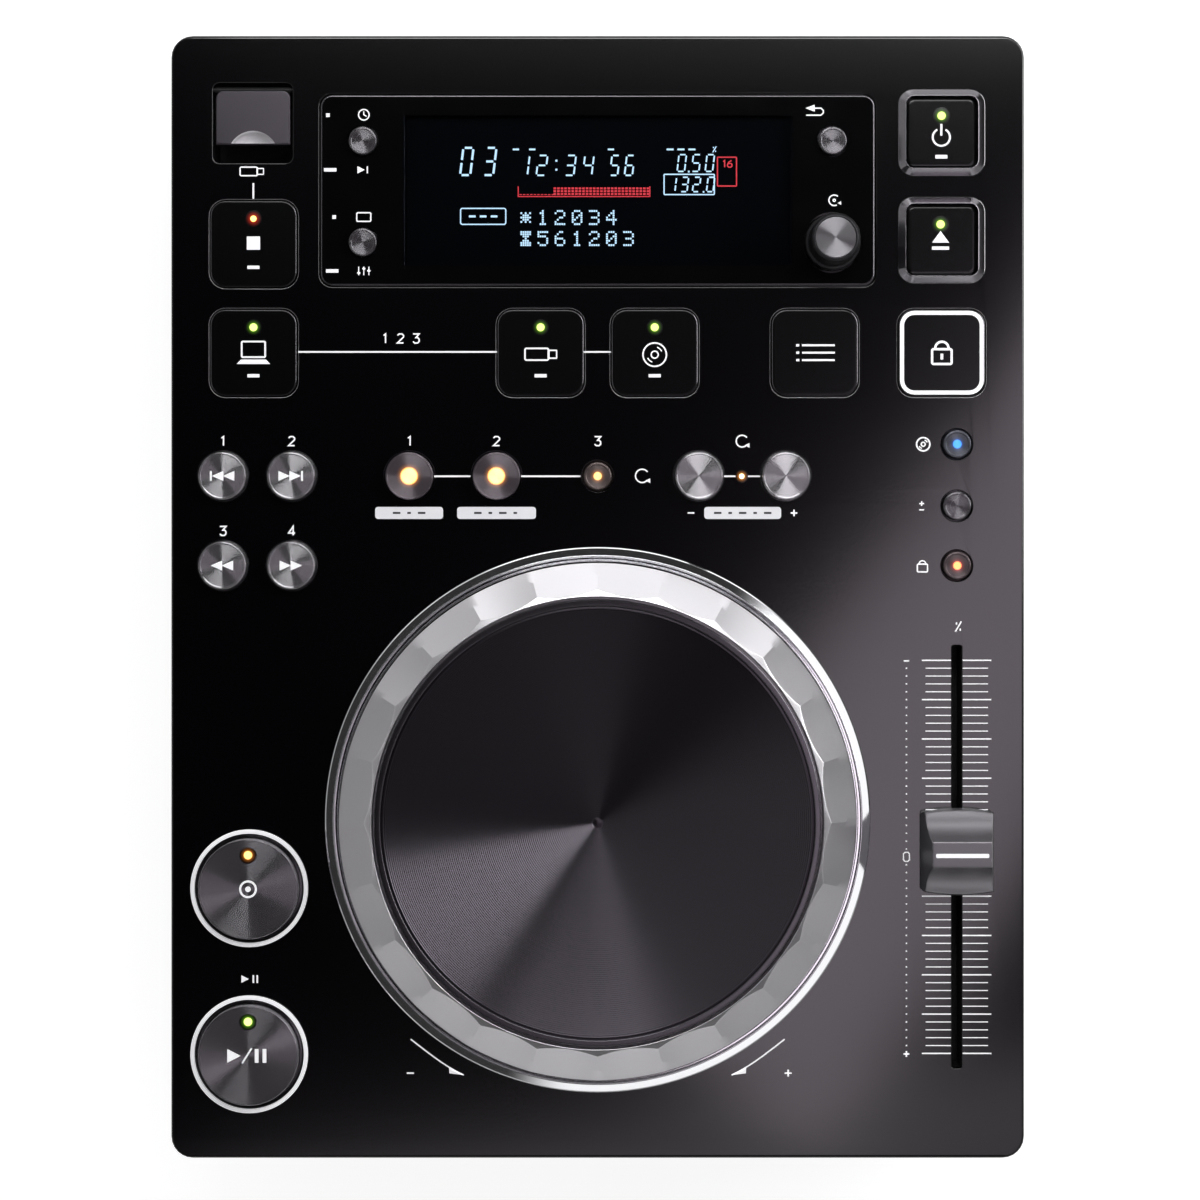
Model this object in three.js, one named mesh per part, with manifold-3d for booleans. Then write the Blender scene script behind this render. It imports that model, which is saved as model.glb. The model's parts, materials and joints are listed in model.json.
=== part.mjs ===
// Tabletop disc player for mixing: a scalloped jog dial, a pitch fader, push keys, a display window,
// a lift-up cover over a memory-stick socket and a slot-in disc mechanism.
// Millimetres, +Z up, +Y to the rear; the origin is the middle of the footprint, on the surface it stands on.

import * as THREE from 'three';
import { mergeVertices } from 'three/addons/utils/BufferGeometryUtils.js';
import Module from 'manifold-3d';

const wasm = await Module();
wasm.setup();

// Rows of controls on the deck, counted forward from the panel's rear edge
const powerRowInset = 24.85;
const ejectRowPitch = 27.55;
const ejectRowInset = powerRowInset + ejectRowPitch;
const stopRowInset = 53.4;
const sourceRowPitch = 27.85;
const sourceRowInset = stopRowInset + sourceRowPitch;
const loopRowPitch = 31.6;
const loopRowInset = sourceRowInset + loopRowPitch;
const searchRowPitch = 22.9;
const searchRowInset = loopRowInset + searchRowPitch;
const vinylRowPitch = 23.4;
const vinylRowInset = sourceRowInset + vinylRowPitch;
const tempoRowPitch = 15.8;
const tempoRangeRowInset = vinylRowInset + tempoRowPitch;

// Overall layout: the jog dial and the columns beside it give the width, the deck behind it the depth
const jogRingDiameter = 139.4;
const sideColumnWidth = 39.55;
const jogFrontMargin = 17.05;
const jogRowOverlap = 4.7;
const deckDepth = searchRowInset - jogRowOverlap;
const panelWidth = jogRingDiameter + 2 * sideColumnWidth;
const panelDepth = jogFrontMargin + jogRingDiameter + deckDepth;
const jogCentreY = jogFrontMargin + jogRingDiameter / 2 - panelDepth / 2;

// Heights of the stack that carries everything
const footHeight = 7.7;
const bottomPlateThickness = 1.5;
const caseHeight = 77.7;
const panelThickness = 3.2;
const seatGap = 0.3;
const plateBottomZ = footHeight + seatGap;
const plateTopZ = plateBottomZ + bottomPlateThickness;
const caseBottomZ = plateTopZ + seatGap;
const caseTopZ = caseBottomZ + caseHeight;
const panelBottomZ = caseTopZ + seatGap;
const panelTopZ = panelBottomZ + panelThickness;

// Clearances shared by all the pieces
const slideGap = 0.4;
const cutOverrun = 2;
const fuseDepth = 0.2;

// Housing
const caseWall = 3;
const lowerInset = 3;
const bandHeight = 26.5;
const bandChamfer = 3;
const cornerRadius = 5.5;
const lowerCornerRadius = 2.95;
const innerCornerRadius = 1.6;
const panelEdgeRound = 1.3;
const edgeRoundStepShare = 0.3;
const cornerPostRadius = 2.6;
const cornerPostInset = 1.9;
const lowerHalfX = panelWidth / 2 - lowerInset;
const lowerHalfY = panelDepth / 2 - lowerInset;
const innerHalfX = lowerHalfX - caseWall;
const innerHalfY = lowerHalfY - caseWall;
const cornerPostX = innerHalfX - cornerPostInset;
const cornerPostY = innerHalfY - cornerPostInset;

// Feet and vents
const footRadius = 12;
const footTopRadius = 10.6;
const footRecessRadius = 4.5;
const footRecessDepth = 3;
const footInset = 24;
const ventLength = 26;
const ventWidth = 3;
const ventPitch = 9;
const ventCount = 5;
const ventRowInset = 12;

// Columns of controls, measured in from the panel's sides, and the transport buttons from its front edge
const outerColumnInset = 21.15;
const tempoColumnInset = 17.25;
const cueColumnInset = 20.05;
const searchColumnInset = 22.05;
const searchPitch = 17.6;
const playlistInset = 53.65;
const sourcePairPitch = 29.2;
const loopOuterOffset = 48.2;
const loopInnerOffset = 25.9;
const cueFrontInset = 69.15;
const playFrontInset = 26.65;

// Square keys
const squareKeySide = 22;
const squareKeyRadius = 3.8;
const squareKeyProud = 0.9;
const powerKeySide = 17.2;
const powerKeyRadius = 1.6;
const powerKeyProud = 0.5;
const keyTravel = 0.8;
const keyChamfer = 0.5;
const keyFlangeWidth = 1.1;
const keyFlangeThickness = 1.4;
const plungerSide = 5;

// Raised frames round the power and eject keys
const frameSide = 22.4;
const frameRadius = 4;
const frameRise = 1.9;
const frameSlope = 1;
const frameInnerSlope = 0.8;

// Round buttons
const smallButtonRadius = 3.55;
const smallButtonProud = 1.6;
const smallButtonGap = 0.5;
const searchButtonRadius = 6.05;
const searchButtonProud = 2.6;
const transportButtonRadius = 12.8;
const transportButtonProud = 4.2;
const transportTravel = 1.4;
const transportRingRadius = 15.05;
const transportRingInnerRadius = 13.8;
const transportRingRise = 1.3;
const transportRingChamfer = 0.3;
const buttonChamfer = 0.5;
const buttonFlangeWidth = 1.3;

// Display window and what lies in it
const windowKeyGap = 5.75;
const windowWidth = panelWidth - 2 * (outerColumnInset + squareKeySide / 2 + windowKeyGap);
const windowHeight = 49.6;
const windowRadius = 3.4;
const windowThickness = 2;
const windowRearInset = 39.55;
const windowFit = 0.3;
const windowButtonInset = 11.2;
const windowUpperInset = 12.25;
const windowLowerInset = 11.35;
const displaySideRoom = 22.35;
const displayEndRoom = 5.8;
const displayWidth = windowWidth - 2 * displaySideRoom;
const displayHeight = windowHeight - 2 * displayEndRoom;
const displayGlassThickness = 1.2;
const displayBezelWidth = 2.5;
const displayOpeningGap = 0.6;

// Selector knob, its rotor and the encoder block that holds them
const knobBaseRadius = 7.15;
const knobTopRadius = 5.9;
const knobHeight = 15;
const knobInsertRadius = 5.2;
const knobInsertDip = 0.4;
const knobCollarHeight = 2.6;
const knobRecessRadius = 7.8;
const knobTravel = 0.9;
const knobShaftRadius = 1.6;
const knobFacets = 16;
const rotorRadius = 3.2;
const rotorHeight = 7;
const encoderSide = 11;
const encoderHeight = 5;

// Circuit board under the deck and the switches on it
const boardDrop = 11.4;
const boardThickness = 1.6;
const boardEdgeGap = 2.2;
const boardRearInset = 14.6;
const boardFrontInset = 14.6;
const boardJogGap = 7.3;
const boardDeckFrontY = jogCentreY + jogRingDiameter / 2 + boardJogGap;
const boardTongueInset = 38.5;
const boardTempoInset = 31;
const boardTempoFrontGap = 6.85;
const boardTempoFrontInset = searchRowInset + boardTempoFrontGap;
const switchHeight = 3.6;
const switchSide = 6;
const panelPostRadius = 3.2;
const panelPostRise = 8;

// Pitch fader: its travel goes with the jog dial beside it
const faderTravelInset = 39.4;
const faderTravel = jogRingDiameter - faderTravelInset;
const faderStemLength = 6;
const faderEndGap = 1.2;
const faderSlotLength = faderTravel + faderStemLength + 2 * faderEndGap;
const faderSlotWidth = 2.6;
const faderFrontMargin = 22.95;
const faderFrontInset = faderFrontMargin + faderSlotLength / 2;
const faderBodyWidth = 14;
const faderBodyHeight = 12;
const faderBodyMargin = 8;
const faderFloor = 1.6;
const faderStemWidth = 1.8;
const faderStemDepth = 8;
const faderCapWidth = 19;
const faderCapLength = 22;
const faderCapHeight = 15.5;
const faderCapTopWidth = 15.2;
const faderCapLift = 0.6;
const faderCapSpan = 44;
const faderCapCurveSteps = 5;
const faderCapOffset = 1.6;

// Memory-stick bay, its cover and socket
const bayWidth = 20.5;
const bayLength = 20.6;
const bayRadius = 1.8;
const bayWall = 1.2;
const bayFlange = 2.4;
const bayDepth = 15;
const bayColumnInset = 20.9;
const bayRearInset = 22.35;
const flapWidth = 19.3;
const flapLength = 14.2;
const flapThickness = 1.6;
const flapDip = 0.8;
const flapRadius = 2.4;
const hingeRearGap = 1.7;
const hingeBarrelRadius = 1.1;
const hingePinRadius = 0.7;
const hingePinLength = 1.6;
const scoopRadius = 6.5;
const scoopFrontGap = 2.8;
const scoopDepth = 0.8;
const socketWidth = 13.4;
const socketHeight = 6;
const socketWall = 0.5;
const socketDepth = 13;
const socketFlange = 0.9;
const socketFlangeReach = 1.8;
const socketRearInset = 9.3;
const socketBaseHeight = 3;
const tongueWidth = 11;
const tongueThickness = 1.8;
const tongueDip = 1.2;

// Jog dial: a ring of concave facets on a bearing post
const jogTopHeight = 17;
const jogRingWidth = 3.7;
const jogRingInnerGap = 0.4;
const dialRadius = jogRingDiameter / 2 - jogRingWidth - jogRingInnerGap;
const dialRimWidth = 8.6;
const dialBoreRadius = dialRadius - dialRimWidth;
const facetCount = 24;
const facetSteps = 3;
const facetLipWidth = 1.9;
const facetCornerRadius = dialBoreRadius + facetLipWidth;
const facetHollow = 0.95;
const facetRunShare = 0.85;
const facetMiddleFallShare = 0.44;
const dialBevelShare = 0.3;
const dialSkirtClearance = 2.8;
const dialSkirtThickness = 4.1;
const dialWebTopDrop = 7;
const dialWebThickness = 2.4;
const dialHubDrop = 2.4;
const bearingPostRadius = 8;
const bearingShoulderRadius = 11;
const bearingPostReach = 3.4;
const bearingFlangeWidth = 4;
const bearingFlangeThickness = 1.5;
const bearingWall = 1.5;
const bearingDishDepth = 7.8;
const jogOpeningInset = 5.6;
const jogOpeningRadius = dialRadius - jogOpeningInset;
const discPlateGap = 0.4;
const discPlateThickness = 1.6;
const discPlateDip = 0.3;
const discRimWidth = 2.1;
const discRimRise = 0.5;
const discSkirtWidth = 4;
const discPress = 0.5;
const discBossRadius = 6;
const jogRingRise = 3.2;
const jogRingLineWidth = 0.5;
const jogRingGrooveWidth = 0.9;
const jogRingGrooveDepth = 1.2;
const jogRingSlope = 1.6;
const jogRingSlopeRise = 1.05;

// Rear tray and connectors
const trayDepth = 10;
const traySheet = 1.2;
const trayRim = 5.3;
const trayBottomRise = 7.5;
const trayHeight = 40;
const trayPostGap = 0.6;
const inletSideInset = 43.25;
const inletX = panelWidth / 2 - inletSideInset;
const inletWidth = 27;
const inletHeight = 20;
const inletBodyDepth = 17;
const inletFlangeWidth = 3;
const inletFlangeThickness = 1.6;
const inletWall = 1.8;
const inletPinWidth = 2;
const inletPinHeight = 4;
const inletPinPitch = 7;
const inletPinDip = 5.2;
const inletPinRise = 2;
const jackBoardWidth = 92;
const jackBoardHeight = 32;
const jackBoardSideInset = 69.25;
const jackBoardX = jackBoardSideInset - panelWidth / 2;
const jackBlockDepth = 9;
const jackBlockSide = 13;
const phonoPitch = 18;
const phonoRadius = 4.15;
const phonoBore = 1.6;
const phonoLength = 8.5;
const phonoOffset = 26;
const phonoX = jackBoardX - phonoOffset;
const controlOffset = 20;
const controlX = jackBoardX + controlOffset;
const controlRadius = 3.8;
const controlBore = 1.8;
const controlLength = 3;
const squarePortOffset = 38;
const squarePortX = jackBoardX + squarePortOffset;
const squarePortWidth = 12;
const squarePortHeight = 11;
const squarePortWall = 1.4;
const squarePortTongue = 3.2;
const squarePortTongueWidth = 5.76;
const squarePortDip = 1.5;

// Slot-in disc mechanism; its places are measured from the spindle and from the plane of the disc
const discDiameter = 120;
const discPlaneHeight = 39.5;
const discFrontGap = 5.75;
const discSideGap = 2.5;
const slotHeight = 5;
const slotChamfer = 1.6;
const pathBelow = 1.9;
const driveSheet = 1.5;
const driveFloorDrop = 23.5;
const driveWallRise = 10.5;
const driveFrontGap = 1.2;
const driveRearRoom = 15;
const drivePillarRadius = 4;
const drivePillarInset = 9;
const rollerRadius = 4.2;
const rollerShortfall = 8;
const rollerLength = discDiameter - rollerShortfall;
const rollerAxleRadius = 1.5;
const rollerFrontOffset = 11;
const rollerClearance = 0.2;
const guideBarDepth = 6;
const guideBarClearance = 2.6;
const clampRadius = 15;
const clampThickness = 2;
const clampStemRadius = 6;
const clampClearance = 3.3;
const coverWindowWidth = 40;
const coverWindowLength = 22;
const traverseWidth = 76;
const traverseFrontReach = 20;
const traverseRearGap = 4;
const traverseRearReach = discDiameter / 2 + driveRearRoom - traverseRearGap;
const traverseSheet = 1.5;
const traverseDrop = 13;
const traverseLift = 4.2;
const damperRadius = 4;
const damperInset = 6;
const spindleMotorRadius = 12;
const spindleMotorHeight = 6.5;
const turntableRadius = 14.5;
const turntableClearance = 0.7;
const turntableDrop = traverseLift + turntableClearance;
const turntableThickness = 2.2;
const turntableHubRadius = 7.3;
const turntableHubTopRadius = 5.4;
const turntableHubHeight = 2.6;
const spindleShaftRadius = 1.3;
const sledWindowHalf = 14;
const railRadius = 1.2;
const railSpread = 20;
const railRise = 2.3;
const railBracketWidth = 5;
const railBracketDepth = 1.5;
const railBracketHeight = 4.4;
const railEndGap = 2;
const sledWidth = 48;
const sledLength = 16;
const sledHeight = 3.6;
const sledInnerTrack = 24;
const sledOuterInset = 2;
const sledOuterTrack = discDiameter / 2 - sledOuterInset;
const lensRadius = 3.6;
const lensRise = 1.1;
const screwRadius = 1.5;
const screwSpread = 29;
const screwWheelRadius = 2.2;
const screwWheelWidth = 2;
const sledMotorRadius = 4.5;
const sledMotorLength = 16;

// Boards and power supply in the rear half of the housing
const boardRoomFrontGap = 23;
const boardRoomRearGap = 11.35;
const mainBoardMiddleGap = 4;
const mainBoardSideGap = 11.25;
const mainBoardWidth = innerHalfX - mainBoardMiddleGap - mainBoardSideGap;
const mainBoardX = -(mainBoardMiddleGap + mainBoardWidth / 2);
const standoffHeight = 9;
const standoffRadius = 3;
const standoffInset = 6;
const chipSide = 24;
const smallChipSide = 16;
const chipHeight = 2.4;
const heatSinkFins = 6;
const heatSinkFinPitch = 4;
const heatSinkFinThickness = 1.2;
const heatSinkFinHeight = 10;
const heatSinkLength = 22;
const supplyMiddleGap = 11;
const supplySideGap = 14.25;
const supplyShortfall = 2;
const supplyWidth = innerHalfX - supplyMiddleGap - supplySideGap;
const supplyX = supplyMiddleGap + supplyWidth / 2;
const coreWidth = 34;
const coreDepth = 28;
const coreHeight = 26;
const canRadius = 9;
const canHeight = 24;
const supplyPartSpreadShare = 0.27;

// Facet counts of round stretches
const cornerSteps = 3;
const wideSegments = 44;
const discSegments = 36;
const middleSegments = 32;
const ringSegments = 20;
const buttonSegments = 12;
const smallSegments = 12;
const pinSegments = 8;
const mergeTolerance = 1e-4;

// Small shape helpers

// A closed three.js geometry as a solid, with its faces turned outward
function solidOf(geometry) {
  const bare = geometry.index ? geometry.toNonIndexed() : geometry.clone();
  bare.deleteAttribute('normal');
  bare.deleteAttribute('uv');
  const merged = mergeVertices(bare, mergeTolerance);
  const places = merged.attributes.position.array;
  const corners = merged.index.array;
  const triangles = [];
  let volume = 0;
  for (let i = 0; i < corners.length; i += 3) {
    const [a, b, c] = [corners[i], corners[i + 1], corners[i + 2]];
    if (a !== b && b !== c && c !== a) {
      triangles.push(a, b, c);
      const [p, q, r] = [a, b, c].map((corner) => new THREE.Vector3().fromArray(places, 3 * corner));
      volume += p.dot(q.cross(r));
    }
  }
  const triVerts = Uint32Array.from(volume < 0 ? triangles.reverse() : triangles);
  return new wasm.Manifold(new wasm.Mesh({ numProp: 3, vertProperties: Float32Array.from(places),
    triVerts }));
}

// A solid as a three.js geometry
function geometryOf(solid) {
  const mesh = solid.getMesh();
  const geometry = new THREE.BufferGeometry();
  geometry.setAttribute('position', new THREE.BufferAttribute(mesh.vertProperties, 3));
  geometry.setIndex(new THREE.BufferAttribute(mesh.triVerts, 1));
  geometry.computeVertexNormals();
  return geometry;
}

// A box centred on x and y that stands on bottomZ
function block(sizeX, sizeY, sizeZ, x, y, bottomZ) {
  return solidOf(new THREE.BoxGeometry(sizeX, sizeY, sizeZ).translate(x, y, bottomZ + sizeZ / 2));
}

// A round bar along Z from bottomZ to topZ
function bar(radius, bottomZ, topZ, x, y, segments = smallSegments) {
  const round = new THREE.CylinderGeometry(radius, radius, topZ - bottomZ, segments);
  return solidOf(round.rotateX(Math.PI / 2).translate(x, y, (bottomZ + topZ) / 2));
}

// A round bar along X or Y, centred on the point given
function barAlongX(radius, length, x, y, z, segments = smallSegments) {
  return solidOf(new THREE.CylinderGeometry(radius, radius, length,
    segments).rotateZ(Math.PI / 2).translate(x, y, z));
}

function barAlongY(radius, length, x, y, z, segments = smallSegments) {
  return solidOf(new THREE.CylinderGeometry(radius, radius, length, segments).translate(x, y, z));
}

// A solid turned about Z from a closed profile of [radius, height] points
function turned(profile, segments) {
  const points = profile.map(([radius, height]) => new THREE.Vector2(radius, height));
  const [first, last] = [points[0], points[points.length - 1]];
  if (first.x > 0 || last.x > 0) {
    points.push(first.clone());
  }
  return solidOf(new THREE.LatheGeometry(points, segments).rotateX(Math.PI / 2));
}

// The outline of a rounded rectangle as a ring of points
function roundedRing(width, depth, radius, z) {
  const ring = [];
  const [spanX, spanY] = [width / 2 - radius, depth / 2 - radius];
  const cornerSigns = [[1, 1], [-1, 1], [-1, -1], [1, -1]];
  cornerSigns.forEach(([signX, signY], quarter) => {
    for (let step = 0; step <= cornerSteps; step += 1) {
      const angle = ((quarter + step / cornerSteps) * Math.PI) / 2;
      ring.push([signX * spanX + radius * Math.cos(angle), signY * spanY + radius * Math.sin(angle), z]);
    }
  });
  return ring;
}

// A solid through rounded rectangles stacked along Z, each given as [width, depth, radius, z]
function stacked(sections, x = 0, y = 0) {
  const rings = sections.map(([width, depth, radius, z]) => roundedRing(width, depth, radius, z));
  const count = rings[0].length;
  const places = rings.flat(2);
  const faces = [];
  for (let level = 0; level + 1 < rings.length; level += 1) {
    for (let i = 0; i < count; i += 1) {
      const [a, b] = [level * count + i, level * count + ((i + 1) % count)];
      faces.push(a, b, a + count, b, b + count, a + count);
    }
  }
  const top = (rings.length - 1) * count;
  for (let i = 1; i + 1 < count; i += 1) {
    faces.push(0, i + 1, i, top, top + i, top + i + 1);
  }
  const geometry = new THREE.BufferGeometry();
  geometry.setAttribute('position', new THREE.Float32BufferAttribute(places, 3));
  geometry.setIndex(faces);
  return solidOf(geometry.translate(x, y, 0));
}

// The sum of several solids
function joined(solids) {
  return solids.reduce((whole, solid) => whole.add(solid));
}

// A solid with others cut out of it
function cutBy(solid, cutters) {
  return cutters.reduce((whole, cutter) => whole.subtract(cutter), solid);
}

// Materials
function material(color, roughness, metalness) {
  return new THREE.MeshStandardMaterial({ color, roughness, metalness });
}

const satinBlack = material(0x141315, 0.45, 0);
const glossBlack = material(0x0b0b0d, 0.12, 0);
const silver = material(0xa3a0a5, 0.28, 1);
const chrome = material(0xe6e6e8, 0.08, 1);
const darkMetal = material(0x4a474c, 0.35, 1);
const steel = material(0x8f9194, 0.4, 1);
const whitePlastic = material(0xe4e4e6, 0.5, 0);
const rubber = material(0x1c1c1c, 0.9, 0);
const boardGreen = material(0x1f4a33, 0.6, 0);
const smokedGlass = material(0x08080a, 0.05, 0);

const player = new THREE.Group();
const deck = new THREE.Group();
deck.position.z = panelTopZ;
const jog = new THREE.Group();
jog.position.set(0, jogCentreY, panelTopZ);
const spindleY = -innerHalfY + discFrontGap + discDiameter / 2;
const drive = new THREE.Group();
drive.position.set(0, spindleY, discPlaneHeight);
player.add(deck, jog, drive);

// Adds a solid to a group as a named piece
function place(group, name, solid, finish, x = 0, y = 0, z = 0) {
  const mesh = new THREE.Mesh(geometryOf(solid), finish);
  mesh.name = name;
  mesh.position.set(x, y, z);
  group.add(mesh);
}

// Places on the deck
const leftX = (inset) => inset - panelWidth / 2;
const rightX = (inset) => panelWidth / 2 - inset;
const rearY = (inset) => panelDepth / 2 - inset;
const frontY = (inset) => inset - panelDepth / 2;

const windowY = rearY(windowRearInset);
const windowButtonX = windowWidth / 2 - windowButtonInset;
const windowUpperY = windowY + windowHeight / 2 - windowUpperInset;
const windowLowerY = windowY - windowHeight / 2 + windowLowerInset;
const bayX = leftX(bayColumnInset);
const bayY = rearY(bayRearInset);
const faderX = rightX(tempoColumnInset);
const faderY = frontY(faderFrontInset);

// Every push control: its name, its place and the kind of button
const squareKeys = [
  ['usb_stop_key', leftX(outerColumnInset), rearY(stopRowInset)],
  ['link_key', leftX(outerColumnInset), rearY(sourceRowInset)],
  ['usb_key', -sourcePairPitch / 2, rearY(sourceRowInset)],
  ['disc_key', sourcePairPitch / 2, rearY(sourceRowInset)],
  ['playlist_key', rightX(playlistInset), rearY(sourceRowInset)],
  ['bpm_lock_key', rightX(outerColumnInset), rearY(sourceRowInset)],
];
const framedKeys = [
  ['power_key', rightX(outerColumnInset), rearY(powerRowInset)],
  ['eject_key', rightX(outerColumnInset), rearY(ejectRowInset)],
];
const windowButtons = [
  ['time_mode_button', -windowButtonX, windowUpperY],
  ['display_button', -windowButtonX, windowLowerY],
  ['back_button', windowButtonX, windowUpperY],
];
const smallButtons = [
  ['reloop_button', 0, rearY(loopRowInset)],
  ['vinyl_button', faderX, rearY(vinylRowInset)],
  ['tempo_range_button', faderX, rearY(tempoRangeRowInset)],
  ['master_tempo_button', faderX, rearY(searchRowInset)],
];
const searchButtons = [
  ['track_back_button', leftX(searchColumnInset) - searchPitch / 2, rearY(loopRowInset)],
  ['track_next_button', leftX(searchColumnInset) + searchPitch / 2, rearY(loopRowInset)],
  ['search_back_button', leftX(searchColumnInset) - searchPitch / 2, rearY(searchRowInset)],
  ['search_next_button', leftX(searchColumnInset) + searchPitch / 2, rearY(searchRowInset)],
  ['loop_in_button', -loopOuterOffset, rearY(loopRowInset)],
  ['loop_out_button', -loopInnerOffset, rearY(loopRowInset)],
  ['beat_minus_button', loopInnerOffset, rearY(loopRowInset)],
  ['beat_plus_button', loopOuterOffset, rearY(loopRowInset)],
];
const transportButtons = [
  ['cue_button', leftX(cueColumnInset), frontY(cueFrontInset)],
  ['play_button', leftX(cueColumnInset), frontY(playFrontInset)],
];

// Heights on the deck, counted down from the panel's top face
const panelUndersideZ = -panelThickness;
const flangeTopZ = panelUndersideZ - seatGap;
const flangeBottomZ = flangeTopZ - keyFlangeThickness;
const boardTopZ = -boardDrop;
const switchTopZ = boardTopZ + switchHeight;
const windowFloorZ = -windowThickness - seatGap;

// Housing: a band flush with the panel over a narrower lower body, with corner posts inside
function caseShell() {
  const bandBottomZ = caseTopZ - bandHeight;
  const chamferBottomZ = bandBottomZ - bandChamfer;
  const outer = stacked([
    [2 * lowerHalfX, 2 * lowerHalfY, lowerCornerRadius, caseBottomZ],
    [2 * lowerHalfX, 2 * lowerHalfY, lowerCornerRadius, chamferBottomZ],
    [panelWidth, panelDepth, cornerRadius, bandBottomZ],
    [panelWidth, panelDepth, cornerRadius, caseTopZ],
  ]);
  const bandInner = [panelWidth - 2 * caseWall, panelDepth - 2 * caseWall, cornerRadius - caseWall];
  const inner = stacked([
    [2 * innerHalfX, 2 * innerHalfY, innerCornerRadius, caseBottomZ - cutOverrun],
    [2 * innerHalfX, 2 * innerHalfY, innerCornerRadius, chamferBottomZ],
    [...bandInner, bandBottomZ],
    [...bandInner, caseTopZ + cutOverrun],
  ]);
  const posts = [-1, 1].flatMap((signX) => [-1, 1].map((signY) => (
    bar(cornerPostRadius, caseBottomZ, caseTopZ, signX * cornerPostX, signY * cornerPostY, pinSegments))));
  const slotWidth = discDiameter + 2 * discSideGap;
  const slotReach = caseWall + 2 * cutOverrun;
  const slot = block(slotWidth, slotReach, slotHeight, 0, -lowerHalfY + caseWall / 2,
    discPlaneHeight - slotHeight / 2);
  const slotFunnel = stacked([
    [slotWidth, slotHeight, slotHeight / 4, -slotChamfer],
    [slotWidth + 2 * slotChamfer, slotHeight + 2 * slotChamfer, slotHeight / 4 + slotChamfer, 0],
    [slotWidth + 2 * slotChamfer, slotHeight + 2 * slotChamfer, slotHeight / 4 + slotChamfer, cutOverrun],
  ]).rotate([90, 0, 0]).translate([0, -lowerHalfY, discPlaneHeight]);
  const rearCut = block(
    2 * (trayHalfX - trayRim), caseWall + 2 * cutOverrun, trayHeight, 0, lowerHalfY - caseWall / 2,
    trayFloorZ);
  return cutBy(joined([outer.subtract(inner), ...posts]), [slot, slotFunnel, rearCut]);
}

// Rear tray: sheet metal sunk into the housing, so that no connector stands past the outline
const trayHalfX = cornerPostX - cornerPostRadius - trayPostGap;
const trayFloorZ = plateTopZ + trayBottomRise;
const trayRimY = innerHalfY - seatGap;
const trayBackY = trayRimY - trayDepth;
const trayMiddleZ = trayFloorZ + trayHeight / 2;

function rearPanel() {
  const openWidth = 2 * (trayHalfX - trayRim);
  const rim = block(2 * trayHalfX, traySheet, trayHeight + 2 * trayRim, 0, trayRimY - traySheet / 2,
    trayFloorZ - trayRim);
  const cup = block(
    openWidth + 2 * traySheet, trayDepth + traySheet, trayHeight + 2 * traySheet,
    0, trayRimY - (trayDepth + traySheet) / 2, trayFloorZ - traySheet);
  const hollow = block(
    openWidth, trayDepth + cutOverrun, trayHeight, 0, trayBackY + (trayDepth + cutOverrun) / 2, trayFloorZ);
  const through = 2 * cutOverrun + traySheet;
  const wallY = trayBackY - traySheet / 2;
  const fitted = 2 * seatGap;
  const inletHole = block(
    inletWidth + fitted, through, inletHeight + fitted, inletX, wallY,
    trayMiddleZ - inletHeight / 2 - seatGap);
  const phonoHoles = [-1, 1].map((side) => (
    barAlongY(phonoRadius + seatGap, through, phonoX + (side * phonoPitch) / 2, wallY, trayMiddleZ,
    pinSegments)));
  const controlHole = barAlongY(controlRadius + seatGap, through, controlX, wallY, trayMiddleZ, pinSegments);
  const portHole = block(
    squarePortWidth + fitted, through, squarePortHeight + fitted, squarePortX, wallY,
    trayMiddleZ - squarePortHeight / 2 - seatGap);
  return cutBy(joined([rim, cup]), [hollow, inletHole, ...phonoHoles, controlHole, portHole]);
}

// Mains inlet: a flanged body with three pins set back in its mouth
function acInlet() {
  const faceY = trayBackY + seatGap;
  const bottomZ = trayMiddleZ - inletHeight / 2;
  const flange = block(
    inletWidth + 2 * inletFlangeWidth, inletFlangeThickness, inletHeight + 2 * inletFlangeWidth,
    inletX, faceY + inletFlangeThickness / 2, bottomZ - inletFlangeWidth);
  const body = block(
    inletWidth, inletBodyDepth + fuseDepth, inletHeight, inletX,
    faceY - (inletBodyDepth - fuseDepth) / 2, bottomZ);
  const mouthDepth = inletBodyDepth - inletWall;
  const mouth = block(
    inletWidth - 2 * inletWall, mouthDepth + cutOverrun + inletFlangeThickness, inletHeight - 2 * inletWall,
    inletX, faceY + (cutOverrun + inletFlangeThickness - mouthDepth) / 2, bottomZ + inletWall);
  const pinLength = mouthDepth - inletPinDip + fuseDepth;
  const pinY = faceY - inletPinDip - pinLength / 2;
  const pins = [-1, 0, 1].map((side) => block(
    inletPinWidth, pinLength, inletPinHeight, inletX + side * inletPinPitch, pinY,
    trayMiddleZ - inletPinHeight / 2 + (side === 0 ? inletPinRise : -inletPinRise)));
  return joined([flange.add(body).subtract(mouth), ...pins]);
}

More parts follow.
